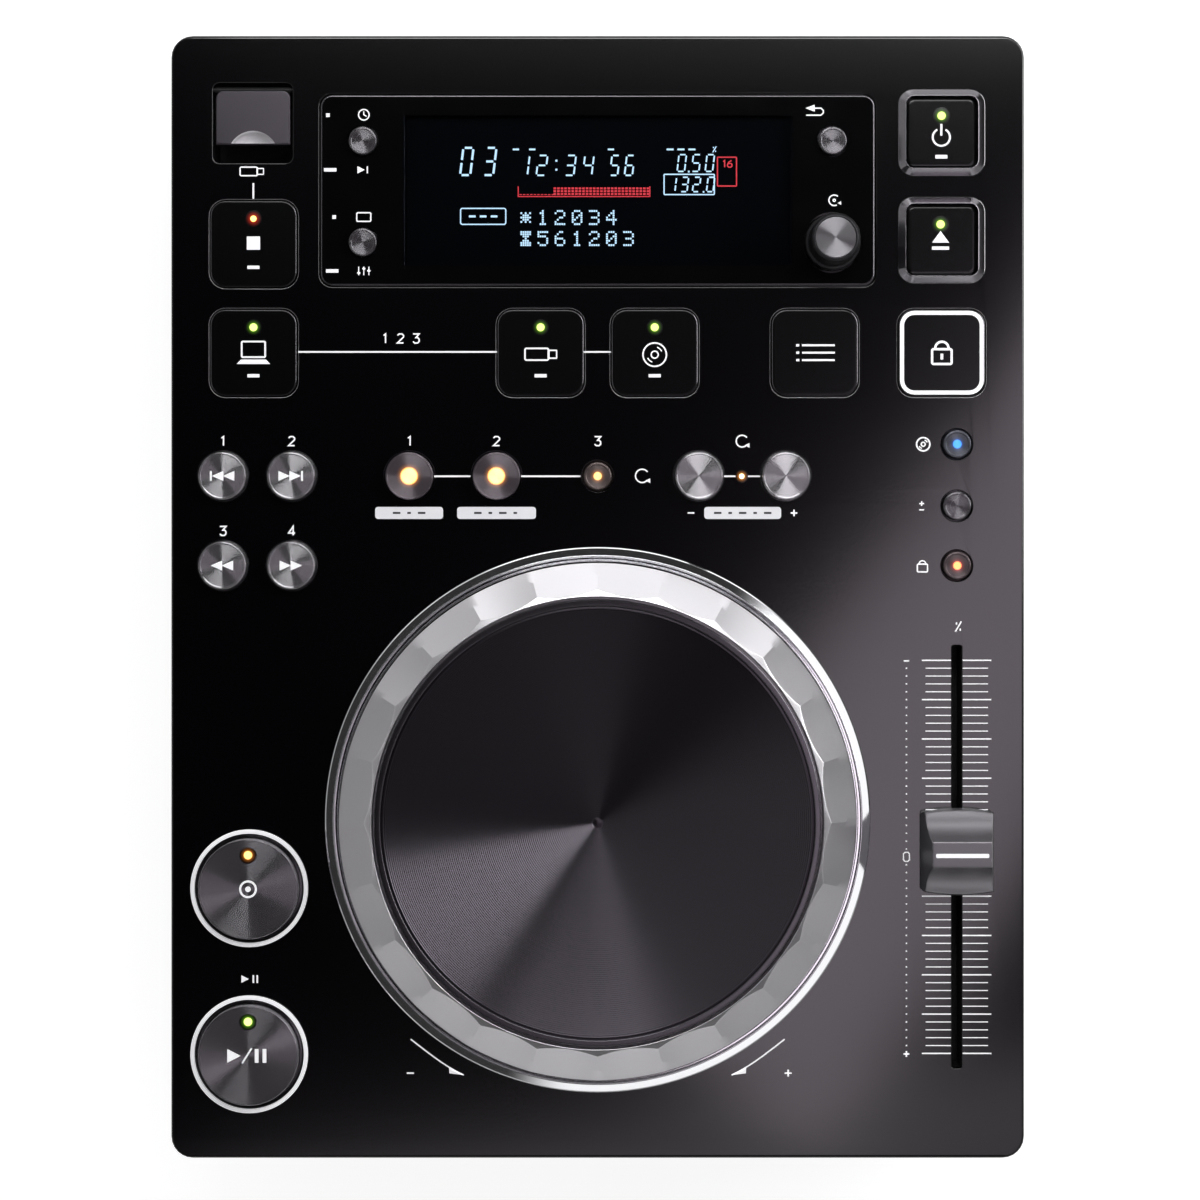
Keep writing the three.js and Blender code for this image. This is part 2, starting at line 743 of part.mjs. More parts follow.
// Signal connectors soldered to one upright board behind the tray
function jackBoard() {
  const blockFaceY = trayBackY - traySheet - seatGap;
  const boardY = blockFaceY - jackBlockDepth - boardThickness / 2;
  const board = block(
    jackBoardWidth, boardThickness, jackBoardHeight, jackBoardX, boardY, trayMiddleZ - jackBoardHeight / 2);
  const bodyDepth = jackBlockDepth + fuseDepth;
  const blockAt = (x) => block(
    jackBlockSide, bodyDepth, jackBlockSide, x, blockFaceY - bodyDepth / 2, trayMiddleZ - jackBlockSide / 2);
  const barrelAt = (x, radius, bore, length) => {
    const reach = length + traySheet + seatGap + fuseDepth;
    const middleY = trayBackY + length - reach / 2;
    const barrel = barAlongY(radius, reach, x, middleY, trayMiddleZ, pinSegments);
    return barrel.subtract(barAlongY(bore, reach, x, middleY + cutOverrun, trayMiddleZ, pinSegments));
  };
  const phonos = [-1, 1].flatMap((side) => {
    const x = phonoX + (side * phonoPitch) / 2;
    return [blockAt(x), barrelAt(x, phonoRadius, phonoBore, phonoLength)];
  });
  const control = [blockAt(controlX), barrelAt(controlX, controlRadius, controlBore, controlLength)];
  const portDepth = jackBlockDepth + traySheet + seatGap + controlLength / 2;
  const portY = trayBackY + controlLength / 2 - portDepth / 2;
  const portBottomZ = trayMiddleZ - squarePortHeight / 2;
  const port = block(squarePortWidth, portDepth, squarePortHeight, squarePortX, portY, portBottomZ);
  const portMouth = block(
    squarePortWidth - 2 * squarePortWall, portDepth, squarePortHeight - 2 * squarePortWall,
    squarePortX, portY + cutOverrun, portBottomZ + squarePortWall);
  const portTongue = block(
    squarePortTongueWidth, portDepth - squarePortDip, squarePortTongue,
    squarePortX, portY - squarePortDip / 2, trayMiddleZ - squarePortTongue / 2);
  return joined([board, ...phonos, ...control, port.subtract(portMouth), portTongue]);
}

// Bottom plate with vent slots, pillars for the disc mechanism and standoffs for the boards
const driveHalfX = discDiameter / 2 + discSideGap + driveSheet;
const driveFloorZ = -driveFloorDrop;
const driveFrontY = -innerHalfY + driveFrontGap - spindleY;
const driveRearY = discDiameter / 2 + driveRearRoom;
const jackBoardFrontY = trayBackY - traySheet - seatGap - jackBlockDepth - boardThickness;
const boardRoomFrontY = spindleY + driveRearY + boardRoomFrontGap;
const mainBoardDepth = jackBoardFrontY - boardRoomRearGap - boardRoomFrontY;
const supplyDepth = mainBoardDepth - supplyShortfall;
const boardRestZ = plateTopZ + standoffHeight;

function bottomPlate() {
  const plate = stacked([
    [2 * lowerHalfX, 2 * lowerHalfY, lowerCornerRadius, plateBottomZ],
    [2 * lowerHalfX, 2 * lowerHalfY, lowerCornerRadius, plateTopZ],
  ]);
  const pillarTopZ = discPlaneHeight + driveFloorZ - seatGap;
  const pillars = [-1, 1].flatMap((side) => [driveFrontY + drivePillarInset,
    driveRearY - drivePillarInset].map((y) => (
    bar(drivePillarRadius, plateTopZ - fuseDepth, pillarTopZ, side * (driveHalfX - drivePillarInset),
    spindleY + y, pinSegments))));
  const boards = [[mainBoardX, mainBoardWidth, mainBoardDepth], [supplyX, supplyWidth, supplyDepth]];
  const standoffs = boards.flatMap(([x, width, depth]) => [-1, 1].flatMap((side) => [0, 1].map((row) => bar(
    standoffRadius, plateTopZ - fuseDepth, boardRestZ - seatGap, x + side * (width / 2 - standoffInset),
    boardRoomFrontY + (row ? depth - standoffInset : standoffInset), pinSegments))));
  const vents = [-1, 1].flatMap((side) => Array.from({ length: ventCount }, (_, i) => block(
    ventLength, ventWidth, bottomPlateThickness + 2 * cutOverrun, side * supplyX,
    boardRoomFrontY + ventRowInset + i * ventPitch, plateBottomZ - cutOverrun)));
  return cutBy(joined([plate, ...pillars, ...standoffs]), vents);
}

// Rubber foot with a screw recess
function foot() {
  return turned([
    [footRecessRadius, 0],
    [footRadius, 0],
    [footTopRadius, footHeight],
    [0, footHeight],
    [0, footRecessDepth],
    [footRecessRadius, footRecessDepth],
  ], smallSegments);
}

// Top panel with its openings, the raised key frames and the posts that carry the board
function topPanel() {
  const edgeStep = edgeRoundStepShare * panelEdgeRound;
  const plate = stacked([
    [panelWidth, panelDepth, cornerRadius, panelUndersideZ],
    [panelWidth, panelDepth, cornerRadius, -panelEdgeRound],
    [panelWidth - 2 * edgeStep, panelDepth - 2 * edgeStep, cornerRadius - edgeStep, -edgeStep],
    [panelWidth - 2 * panelEdgeRound, panelDepth - 2 * panelEdgeRound, cornerRadius - panelEdgeRound, 0],
  ]);
  const frames = framedKeys.map(([, x, y]) => stacked([
    [frameSide, frameSide, frameRadius, -fuseDepth],
    [frameSide, frameSide, frameRadius, 0],
    [frameSide - 2 * frameSlope, frameSide - 2 * frameSlope, frameRadius - frameSlope, frameRise],
  ], x, y));
  const posts = panelPostPlaces().map(([x, y]) => (
    bar(panelPostRadius, boardTopZ + seatGap, panelUndersideZ + fuseDepth, x, y, pinSegments)));
  const downZ = panelUndersideZ - cutOverrun;
  const squareHole = (side, radius, x, y) => stacked([
    [side + 2 * slideGap, side + 2 * slideGap, radius + slideGap, downZ],
    [side + 2 * slideGap, side + 2 * slideGap, radius + slideGap, frameRise + cutOverrun],
  ], x, y);
  const roundHole = (radius, x, y, segments) => bar(radius, downZ, cutOverrun, x, y, segments);
  const frameInner = powerKeySide + 2 * slideGap;
  const framedHoles = framedKeys.flatMap(([, x, y]) => [
    squareHole(powerKeySide, powerKeyRadius, x, y),
    stacked([
      [frameInner, frameInner, powerKeyRadius + slideGap, 0],
      [frameInner + 2 * frameInnerSlope, frameInner + 2 * frameInnerSlope,
      powerKeyRadius + slideGap + frameInnerSlope,
        frameRise],
      [frameInner + 2 * frameInnerSlope, frameInner + 2 * frameInnerSlope,
      powerKeyRadius + slideGap + frameInnerSlope,
        frameRise + cutOverrun],
    ], x, y),
  ]);
  const windowRecess = stacked([
    [windowWidth, windowHeight, windowRadius, windowFloorZ],
    [windowWidth, windowHeight, windowRadius, cutOverrun],
  ], 0, windowY);
  const displayCut = block(
    displayWidth + 2 * displayOpeningGap, displayHeight + 2 * displayOpeningGap,
    panelThickness + 2 * cutOverrun, 0, windowY, downZ);
  const bayCut = stacked([
    [bayWidth, bayLength, bayRadius, downZ],
    [bayWidth, bayLength, bayRadius, cutOverrun],
  ], bayX, bayY);
  const pinHoles = barAlongX(
    hingePinRadius + seatGap, flapWidth + 2 * (hingePinLength + seatGap), bayX, hingeY, hingeZ, pinSegments);
  const faderCut = block(
    faderSlotWidth, faderSlotLength, panelThickness + 2 * cutOverrun, faderX, faderY, downZ);
  const holes = [
    ...squareKeys.map(([, x, y]) => squareHole(squareKeySide, squareKeyRadius, x, y)),
    ...framedHoles,
    ...smallButtons.map(([, x, y]) => roundHole(smallButtonRadius + smallButtonGap, x, y, smallSegments)),
    ...windowButtons.map(([, x, y]) => roundHole(smallButtonRadius + smallButtonGap, x, y, smallSegments)),
    ...searchButtons.map(([, x, y]) => roundHole(searchButtonRadius + slideGap, x, y, buttonSegments)),
    ...transportButtons.map(([, x, y]) => roundHole(transportRingInnerRadius, x, y, ringSegments)),
    roundHole(knobShaftRadius + smallButtonGap, windowButtonX, windowLowerY, smallSegments),
    roundHole(jogOpeningRadius, 0, jogCentreY, middleSegments),
  ];
  return cutBy(joined([plate, ...frames, ...posts]),
    [...holes, windowRecess, displayCut, bayCut, pinHoles, faderCut]);
}

// Places of the posts between the panel and its board, clear of every control
function panelPostPlaces() {
  const besideWindowX = windowWidth / 2 - windowRadius - panelPostRadius / 2;
  const betweenRowsY = rearY((sourceRowInset + loopRowInset) / 2);
  const transportX = leftX(cueColumnInset);
  return [
    [-besideWindowX, windowUpperY + panelPostRise],
    [besideWindowX, windowUpperY + panelPostRise],
    [-besideWindowX, betweenRowsY],
    [besideWindowX, betweenRowsY],
    [transportX, frontY((cueFrontInset + playFrontInset) / 2)],
    [transportX, (rearY(searchRowInset) + frontY(cueFrontInset)) / 2],
  ];
}

// Plunger under a key or button: at rest it clears its switch by the travel
function plunger(travel) {
  const bottomZ = switchTopZ + travel + seatGap;
  return block(plungerSide, plungerSide, flangeBottomZ + fuseDepth - bottomZ, 0, 0, bottomZ);
}

// Square key: cap, retaining flange and plunger in one piece
function squareKey(side, radius, proud) {
  const flange = side + 2 * keyFlangeWidth;
  const cap = stacked([
    [flange, flange, radius + keyFlangeWidth, flangeBottomZ],
    [flange, flange, radius + keyFlangeWidth, flangeTopZ],
    [side, side, radius, flangeTopZ],
    [side, side, radius, proud - keyChamfer],
    [side - 2 * keyChamfer, side - 2 * keyChamfer, radius - keyChamfer, proud],
  ]);
  return cap.add(plunger(keyTravel));
}

// Round button: cap, retaining flange and plunger in one piece
function roundButton(radius, proud, travel, holeRadius, segments) {
  const flangeRadius = holeRadius + buttonFlangeWidth;
  const cap = turned([
    [0, flangeBottomZ],
    [flangeRadius, flangeBottomZ],
    [flangeRadius, flangeTopZ],
    [radius, flangeTopZ],
    [radius, proud - buttonChamfer],
    [radius - buttonChamfer, proud],
    [0, proud],
  ], segments);
  return cap.add(plunger(travel));
}

// White ring that stands on the panel round a transport button
function transportRing() {
  return turned([
    [transportRingInnerRadius, seatGap],
    [transportRingRadius, seatGap],
    [transportRingRadius, transportRingRise - transportRingChamfer],
    [transportRingRadius - transportRingChamfer, transportRingRise],
    [transportRingInnerRadius, transportRingRise],
  ], ringSegments);
}

// Display window: a smoked plate let into the panel, with holes for the controls in it
function displayWindow() {
  const width = windowWidth - 2 * windowFit;
  const height = windowHeight - 2 * windowFit;
  const plate = stacked([
    [width, height, windowRadius - windowFit, windowFloorZ + seatGap],
    [width, height, windowRadius - windowFit, 0],
  ], 0, windowY);
  const holes = windowButtons.map(([, x, y]) => (
    bar(smallButtonRadius + smallButtonGap, windowFloorZ, cutOverrun, x, y)));
  return cutBy(plate, [...holes, bar(knobRecessRadius, windowFloorZ, cutOverrun, windowButtonX,
    windowLowerY, knobFacets)]);
}

// Display module: a glass face on a bezelled body that stands on the board
function displayModule() {
  const faceTopZ = windowFloorZ;
  const bodyTopZ = panelUndersideZ - seatGap;
  const body = block(
    displayWidth + 2 * displayBezelWidth, displayHeight + 2 * displayBezelWidth,
    bodyTopZ - boardTopZ - seatGap,
    0, windowY, boardTopZ + seatGap);
  const face = block(displayWidth, displayHeight, faceTopZ - bodyTopZ + displayGlassThickness, 0, windowY,
    bodyTopZ - displayGlassThickness);
  return body.add(face);
}

// Board under the deck: a wide part behind the jog dial, a tongue under the transport buttons on the left
// and a short one under the tempo keys on the right, with a switch under each control
function controlBoard() {
  const bottomZ = boardTopZ - boardThickness;
  const halfX = innerHalfX - boardEdgeGap;
  const rear = rearY(boardRearInset);
  const front = frontY(boardFrontInset);
  const tongueRight = leftX(boardTongueInset);
  const tempoLeft = rightX(boardTempoInset);
  const tempoFront = rearY(boardTempoFrontInset);
  const outline = new THREE.Shape();
  outline.moveTo(-halfX, front);
  outline.lineTo(tongueRight, front);
  outline.lineTo(tongueRight, boardDeckFrontY);
  outline.lineTo(tempoLeft, boardDeckFrontY);
  outline.lineTo(tempoLeft, tempoFront);
  outline.lineTo(halfX, tempoFront);
  outline.lineTo(halfX, rear);
  outline.lineTo(-halfX, rear);
  outline.closePath();
  const sheet = solidOf(new THREE.ExtrudeGeometry(outline, { depth: boardThickness, bevelEnabled: false })
    .translate(0, 0, bottomZ));
  const roomAroundBay = 2 * (bayWall + seatGap);
  const bayCut = block(
    bayWidth + roomAroundBay, bayLength + roomAroundBay, boardThickness + 2 * cutOverrun, bayX, bayY,
    bottomZ - cutOverrun);
  const everyControl = [
    ...squareKeys, ...framedKeys, ...windowButtons, ...smallButtons, ...searchButtons, ...transportButtons];
  const switches = everyControl.map(([, x, y]) => (
    block(switchSide, switchSide, switchHeight + fuseDepth, x, y, boardTopZ - fuseDepth)));
  const encoder = block(
    encoderSide, encoderSide, encoderHeight + fuseDepth, windowButtonX, windowLowerY, boardTopZ - fuseDepth);
  const encoderBore = bar(
    rotorRadius + seatGap, boardTopZ, boardTopZ + encoderHeight + cutOverrun, windowButtonX,
    windowLowerY, pinSegments);
  return joined([sheet.subtract(bayCut), ...switches, encoder]).subtract(encoderBore);
}

// Rotor that turns in the encoder block; the knob's shaft slides in it
function encoderRotor() {
  const bottomZ = boardTopZ + seatGap;
  return turned([
    [knobShaftRadius + seatGap, bottomZ],
    [rotorRadius, bottomZ],
    [rotorRadius, bottomZ + rotorHeight],
    [knobShaftRadius + seatGap, bottomZ + rotorHeight],
  ], pinSegments);
}

// Selector knob: a faceted taper with a metal insert, on its shaft
function selectKnob() {
  const bottomZ = windowFloorZ + seatGap + knobTravel;
  const shaftBottomZ = boardTopZ + knobTravel + 2 * seatGap;
  return turned([
    [0, shaftBottomZ],
    [knobShaftRadius, shaftBottomZ],
    [knobShaftRadius, bottomZ],
    [knobBaseRadius, bottomZ],
    [knobBaseRadius, knobCollarHeight],
    [knobTopRadius + buttonChamfer, knobHeight - buttonChamfer],
    [knobTopRadius, knobHeight],
    [knobInsertRadius, knobHeight],
    [knobInsertRadius, knobHeight - knobInsertDip],
    [0, knobHeight - knobInsertDip],
  ], knobFacets);
}

// Fader body: a channel under the panel, open along its top
function faderUnit() {
  const length = faderSlotLength + 2 * faderBodyMargin;
  const bottomZ = flangeTopZ - faderBodyHeight;
  const body = block(faderBodyWidth, length, faderBodyHeight, faderX, faderY, bottomZ);
  const channel = block(
    faderSlotWidth, faderSlotLength, faderBodyHeight, faderX, faderY, bottomZ + faderFloor);
  return body.subtract(channel);
}

// Fader cap: hollowed slopes rise to a narrow ridge; its stem runs down through the slot.
// It stands a little behind the middle of its travel.
function faderCap() {
  const halfLength = faderCapLength / 2;
  const height = faderCapHeight;
  const footShare = 0.93;
  const bulgeShares = [1.04, 0.2];
  const shoulderShares = [0.95, 0.42];
  const hollowShares = [0.5, 0.55];
  const ridgeShares = [0.29, 1];
  const side = new THREE.Shape();
  side.moveTo(-footShare * halfLength, 0);
  side.lineTo(footShare * halfLength, 0);
  side.quadraticCurveTo(bulgeShares[0] * halfLength, bulgeShares[1] * height,
    shoulderShares[0] * halfLength, shoulderShares[1] * height);
  side.quadraticCurveTo(hollowShares[0] * halfLength, hollowShares[1] * height,
    ridgeShares[0] * halfLength, ridgeShares[1] * height);
  side.lineTo(-ridgeShares[0] * halfLength, ridgeShares[1] * height);
  side.quadraticCurveTo(-hollowShares[0] * halfLength, hollowShares[1] * height,
    -shoulderShares[0] * halfLength, shoulderShares[1] * height);
  side.quadraticCurveTo(-bulgeShares[0] * halfLength, bulgeShares[1] * height, -footShare * halfLength, 0);
  const ridge = solidOf(new THREE.ExtrudeGeometry(side,
    { depth: faderCapWidth, bevelEnabled: false, curveSegments: faderCapCurveSteps })
    .translate(0, 0, -faderCapWidth / 2).rotateX(Math.PI / 2).rotateZ(Math.PI / 2));
  const taper = stacked([
    [faderCapWidth, faderCapSpan, cornerRadius / 2, -cutOverrun],
    [faderCapWidth, faderCapSpan, cornerRadius / 2, 0],
    [faderCapTopWidth, faderCapSpan, cornerRadius / 2, height],
    [faderCapTopWidth, faderCapSpan, cornerRadius / 2, height + cutOverrun],
  ]);
  const stemReach = panelThickness + seatGap + faderCapLift + faderStemDepth;
  const stem = block(faderStemWidth, faderStemLength, stemReach + fuseDepth, 0, 0, -stemReach);
  return ridge.intersect(taper).add(stem);
}

// Memory-stick bay: a tub that hangs under the panel by its flange
const bayFloorZ = flangeTopZ - bayDepth;

function usbBay() {
  const outerX = bayWidth + 2 * bayWall;
  const outerY = bayLength + 2 * bayWall;
  const flangeX = bayWidth + 2 * bayFlange;
  const flangeY = bayLength + 2 * bayFlange;
  const tub = stacked([
    [outerX, outerY, bayRadius + bayWall, bayFloorZ - bayWall],
    [outerX, outerY, bayRadius + bayWall, flangeTopZ - bayWall],
    [flangeX, flangeY, bayRadius + bayFlange, flangeTopZ - bayWall],
    [flangeX, flangeY, bayRadius + bayFlange, flangeTopZ],
  ], bayX, bayY);
  const hollow = stacked([
    [bayWidth, bayLength, bayRadius, bayFloorZ],
    [bayWidth, bayLength, bayRadius, flangeTopZ + cutOverrun],
  ], bayX, bayY);
  const socketHole = block(
    socketWidth + 2 * seatGap, socketHeight + 2 * seatGap, bayWall + 2 * cutOverrun, bayX, socketY,
    bayFloorZ - bayWall - cutOverrun);
  return cutBy(tub, [hollow, socketHole]);
}

// Cover over the bay: a plate with a finger scoop, hinged at its rear edge on two stub pins
const hingeY = bayY + bayLength / 2 - hingeRearGap;
const hingeZ = -flapDip - flapThickness / 2;

function usbFlap() {
  const plateTopZ = flapThickness / 2;
  const plate = stacked([
    [flapWidth, flapLength, flapRadius, -flapThickness / 2],
    [flapWidth, flapLength, flapRadius, plateTopZ],
  ], 0, -flapLength / 2);
  const squareFront = block(
    flapWidth, flapLength / 2, flapThickness, 0, -flapLength + flapLength / 4, -flapThickness / 2);
  const scoop = bar(
    scoopRadius, plateTopZ - scoopDepth, plateTopZ + cutOverrun, 0, -flapLength - scoopFrontGap, ringSegments);
  const barrel = barAlongX(hingeBarrelRadius, flapWidth, 0, 0, 0, pinSegments);
  const pins = barAlongX(hingePinRadius, flapWidth + 2 * hingePinLength, 0, 0, 0, pinSegments);
  return plate.add(squareFront).subtract(scoop).add(barrel).add(pins);
}

// Socket: a sheet-metal shell round a contact tongue, with a flange that rests on the bay's floor
const socketY = bayY + bayLength / 2 - socketRearInset;

function usbSocket() {
  const topZ = bayFloorZ + seatGap + socketFlange;
  const bottomZ = topZ - socketDepth;
  const shell = block(socketWidth, socketHeight, socketDepth, bayX, socketY, bottomZ);
  const flange = block(
    socketWidth + 2 * socketFlangeReach, socketHeight + 2 * socketFlangeReach, socketFlange, bayX,
    socketY, topZ - socketFlange);
  const cavity = block(
    socketWidth - 2 * socketWall, socketHeight - 2 * socketWall, socketDepth + cutOverrun - socketBaseHeight,
    bayX, socketY, bottomZ + socketBaseHeight);
  const tongue = block(
    tongueWidth, tongueThickness, socketDepth - socketBaseHeight - tongueDip + fuseDepth,
    bayX, socketY, bottomZ + socketBaseHeight - fuseDepth);
  return shell.add(flange).subtract(cavity).add(tongue);
}

// Jog dial: a closed ring whose outer slope is cut into hollow facets, with a conical web inside.
// Along each facet the hollow follows a parabola, and the facet's edges are worked out from it.
// Down each facet the slope steepens a little past its middle.
const jogDialBottomZ = dialSkirtClearance;
const dialWebTopZ = jogTopHeight - dialWebTopDrop;
const dialWebBottomZ = dialWebTopZ - dialWebThickness;
const dialHubBottomZ = dialWebBottomZ - dialHubDrop;

function jogDial() {
  const half = Math.PI / facetCount;
  const columns = facetCount * facetSteps;
  const boreRadius = bearingPostRadius + seatGap;
  const skirtInner = dialRadius - dialSkirtThickness;
  const places = [];
  for (let column = 0; column < columns; column += 1) {
    const angle = (column * 2 * Math.PI) / columns;
    const across = (2 * (column % facetSteps)) / facetSteps - 1;
    const flat = (facetCornerRadius * Math.cos(half)) / Math.cos(across * half);
    const edgeRadius = flat - facetHollow * (1 - across * across);
    const edgeZ = jogTopHeight - (edgeRadius - dialBoreRadius) * dialBevelShare;
    const fall = (dialRadius - edgeRadius) / facetRunShare;
    const middleRadius = (edgeRadius + dialRadius) / 2;
    const profile = [
      [dialBoreRadius, jogTopHeight],
      [edgeRadius, edgeZ],
      [middleRadius, edgeZ - fall * facetMiddleFallShare],
      [dialRadius, edgeZ - fall],
      [dialRadius, jogDialBottomZ],
      [skirtInner, jogDialBottomZ],
      [skirtInner, dialWebBottomZ],
      [boreRadius, dialHubBottomZ],
      [boreRadius, dialWebTopZ],
      [dialBoreRadius, dialWebTopZ],
    ];
    profile.forEach(([radius, z]) => places.push(radius * Math.cos(angle), radius * Math.sin(angle), z));
  }
  const rows = places.length / 3 / columns;
  const faces = [];
  for (let column = 0; column < columns; column += 1) {
    const next = (column + 1) % columns;
    for (let row = 0; row < rows; row += 1) {
      const below = (row + 1) % rows;
      const [a, b] = [column * rows + row, column * rows + below];
      const [c, d] = [next * rows + row, next * rows + below];
      faces.push(a, b, c, b, d, c);
    }
  }
  const geometry = new THREE.BufferGeometry();
  geometry.setAttribute('position', new THREE.Float32BufferAttribute(places, 3));
  geometry.setIndex(faces);
  return solidOf(geometry);
}

// Pressed plate that fills the dial, with a raised rim, a skirt and a boss underneath
function jogDisc() {
  const radius = dialBoreRadius - discPlateGap;
  const topZ = jogTopHeight - discPlateDip;
  const faceZ = topZ - discRimRise;
  const skirtBottomZ = dialWebTopZ + seatGap + discPress;
  const undersideZ = faceZ - discPlateThickness;
  const bossBottomZ = bearingPostTopZ + seatGap + discPress;
  return turned([
    [0, bossBottomZ],
    [discBossRadius, bossBottomZ],
    [discBossRadius, undersideZ],
    [radius - discSkirtWidth, undersideZ],
    [radius - discSkirtWidth, skirtBottomZ],
    [radius, skirtBottomZ],
    [radius, topZ],
    [radius - discRimWidth + discRimRise / 2, topZ],
    [radius - discRimWidth, faceZ],
    [0, faceZ],
  ], discSegments);
}

// Bearing dish under the panel, with the post that the dial turns on
const bearingShoulderZ = dialHubBottomZ - seatGap;
const bearingPostTopZ = dialWebTopZ + bearingPostReach - 2 * seatGap;

function jogBearing() {
  const flangeTop = flangeTopZ;
  const flangeBottom = flangeTop - bearingFlangeThickness;
  const dishBottom = flangeTop - bearingDishDepth;
  const dishRadius = jogOpeningRadius - bearingWall;
  return turned([
    [0, dishBottom],
    [dishRadius, dishBottom],
    [dishRadius, flangeBottom],
    [jogOpeningRadius + bearingFlangeWidth, flangeBottom],
    [jogOpeningRadius + bearingFlangeWidth, flangeTop],
    [dishRadius - bearingWall, flangeTop],
    [dishRadius - bearingWall, dishBottom + bearingWall],
    [bearingShoulderRadius, dishBottom + bearingWall],
    [bearingShoulderRadius, bearingShoulderZ],
    [bearingPostRadius, bearingShoulderZ],
    [bearingPostRadius, bearingPostTopZ],
    [0, bearingPostTopZ],
  ], ringSegments);
}

// Bright ring on the panel round the dial: a sloped outer edge, a groove and a thin inner line
function jogBaseRing() {
  const outer = jogRingDiameter / 2;
  const inner = outer - jogRingWidth;
  const lineOuter = inner + 2 * jogRingLineWidth;
  return turned([
    [inner, seatGap],
    [outer, seatGap],
    [outer, jogRingRise - jogRingSlopeRise],
    [outer - jogRingSlope, jogRingRise],
    [lineOuter + jogRingGrooveWidth, jogRingRise],
    [lineOuter + jogRingGrooveWidth / 2, jogRingRise - jogRingGrooveDepth],
    [lineOuter, jogRingRise - jogRingLineWidth],
    [inner + jogRingLineWidth, jogRingRise - jogRingLineWidth],
    [inner, jogRingRise - jogRingGrooveDepth],
  ], wideSegments);
}

// Chassis of the disc mechanism: a tray with side walls that hold the feed roller, and damper posts
const driveLength = driveRearY - driveFrontY;
const driveMiddleY = (driveRearY + driveFrontY) / 2;
const rollerZ = -pathBelow - rollerClearance - rollerRadius;
const rollerY = driveFrontY + rollerFrontOffset;
const traverseBottomZ = -traverseDrop;
const traverseTopZ = traverseBottomZ + traverseSheet;
const traverseMiddleY = (traverseRearReach - traverseFrontReach) / 2;
const traverseLength = traverseRearReach + traverseFrontReach;

function driveChassis() {
  const height = driveFloorDrop + driveWallRise;
  const innerWidth = 2 * (driveHalfX - driveSheet);
  const outer = block(2 * driveHalfX, driveLength, height, 0, driveMiddleY, driveFloorZ);
  const hollow = block(
    innerWidth, driveLength + cutOverrun - driveSheet, height, 0,
    driveMiddleY - (cutOverrun + driveSheet) / 2, driveFloorZ + driveSheet);
  const lip = block(
    innerWidth + 2 * fuseDepth, driveSheet, driveFloorDrop - slotHeight, 0, driveFrontY + driveSheet / 2,
    driveFloorZ);
  const axleHoles = barAlongX(
    rollerAxleRadius + seatGap, 2 * driveHalfX + cutOverrun, 0, rollerY, rollerZ, pinSegments);
  const dampers = [-1, 1].flatMap((side) => [-1, 1].map((end) => bar(
    damperRadius, driveFloorZ + driveSheet - fuseDepth, traverseBottomZ - seatGap,
    side * (traverseWidth / 2 - damperInset), traverseMiddleY + end * (traverseLength / 2 - damperInset),
    pinSegments)));
  return joined([outer.subtract(hollow).add(lip).subtract(axleHoles), ...dampers]);
}

// Cover of the mechanism with the clamp that presses the disc down and the bar over the feed roller
function driveCover() {
  const bottomZ = driveWallRise + seatGap;
  const sheet = block(2 * driveHalfX, driveLength, driveSheet, 0, driveMiddleY, bottomZ);
  const stem = bar(clampStemRadius, clampClearance, bottomZ + fuseDepth, 0, 0, pinSegments);
  const puck = bar(clampRadius, clampClearance, clampClearance + clampThickness, 0, 0, buttonSegments);
  const guide = block(
    rollerLength, guideBarDepth, bottomZ - guideBarClearance + fuseDepth, 0, rollerY, guideBarClearance);
  const windows = [-1, 1].map((side) => block(
    coverWindowWidth, coverWindowLength, driveSheet + 2 * cutOverrun, (side * discDiameter) / 4, driveMiddleY,
    bottomZ - cutOverrun));
  return cutBy(sheet, windows).add(stem).add(puck).add(guide);
}

// Rubber feed roller on its axle
function feedRoller() {
  const axleLength = 2 * (driveHalfX - seatGap);
  return barAlongX(rollerRadius, rollerLength, 0, 0, 0)
    .add(barAlongX(rollerAxleRadius, axleLength, 0, 0, 0, pinSegments));
}

// Traverse: the plate that carries the spindle motor, the sled's rails and the sled motor
const railZ = traverseTopZ + railRise;
const railFrontY = sledInnerTrack - sledLength / 2 - railBracketDepth - railEndGap;
const railRearY = sledOuterTrack + sledLength / 2 + railBracketDepth + railEndGap;

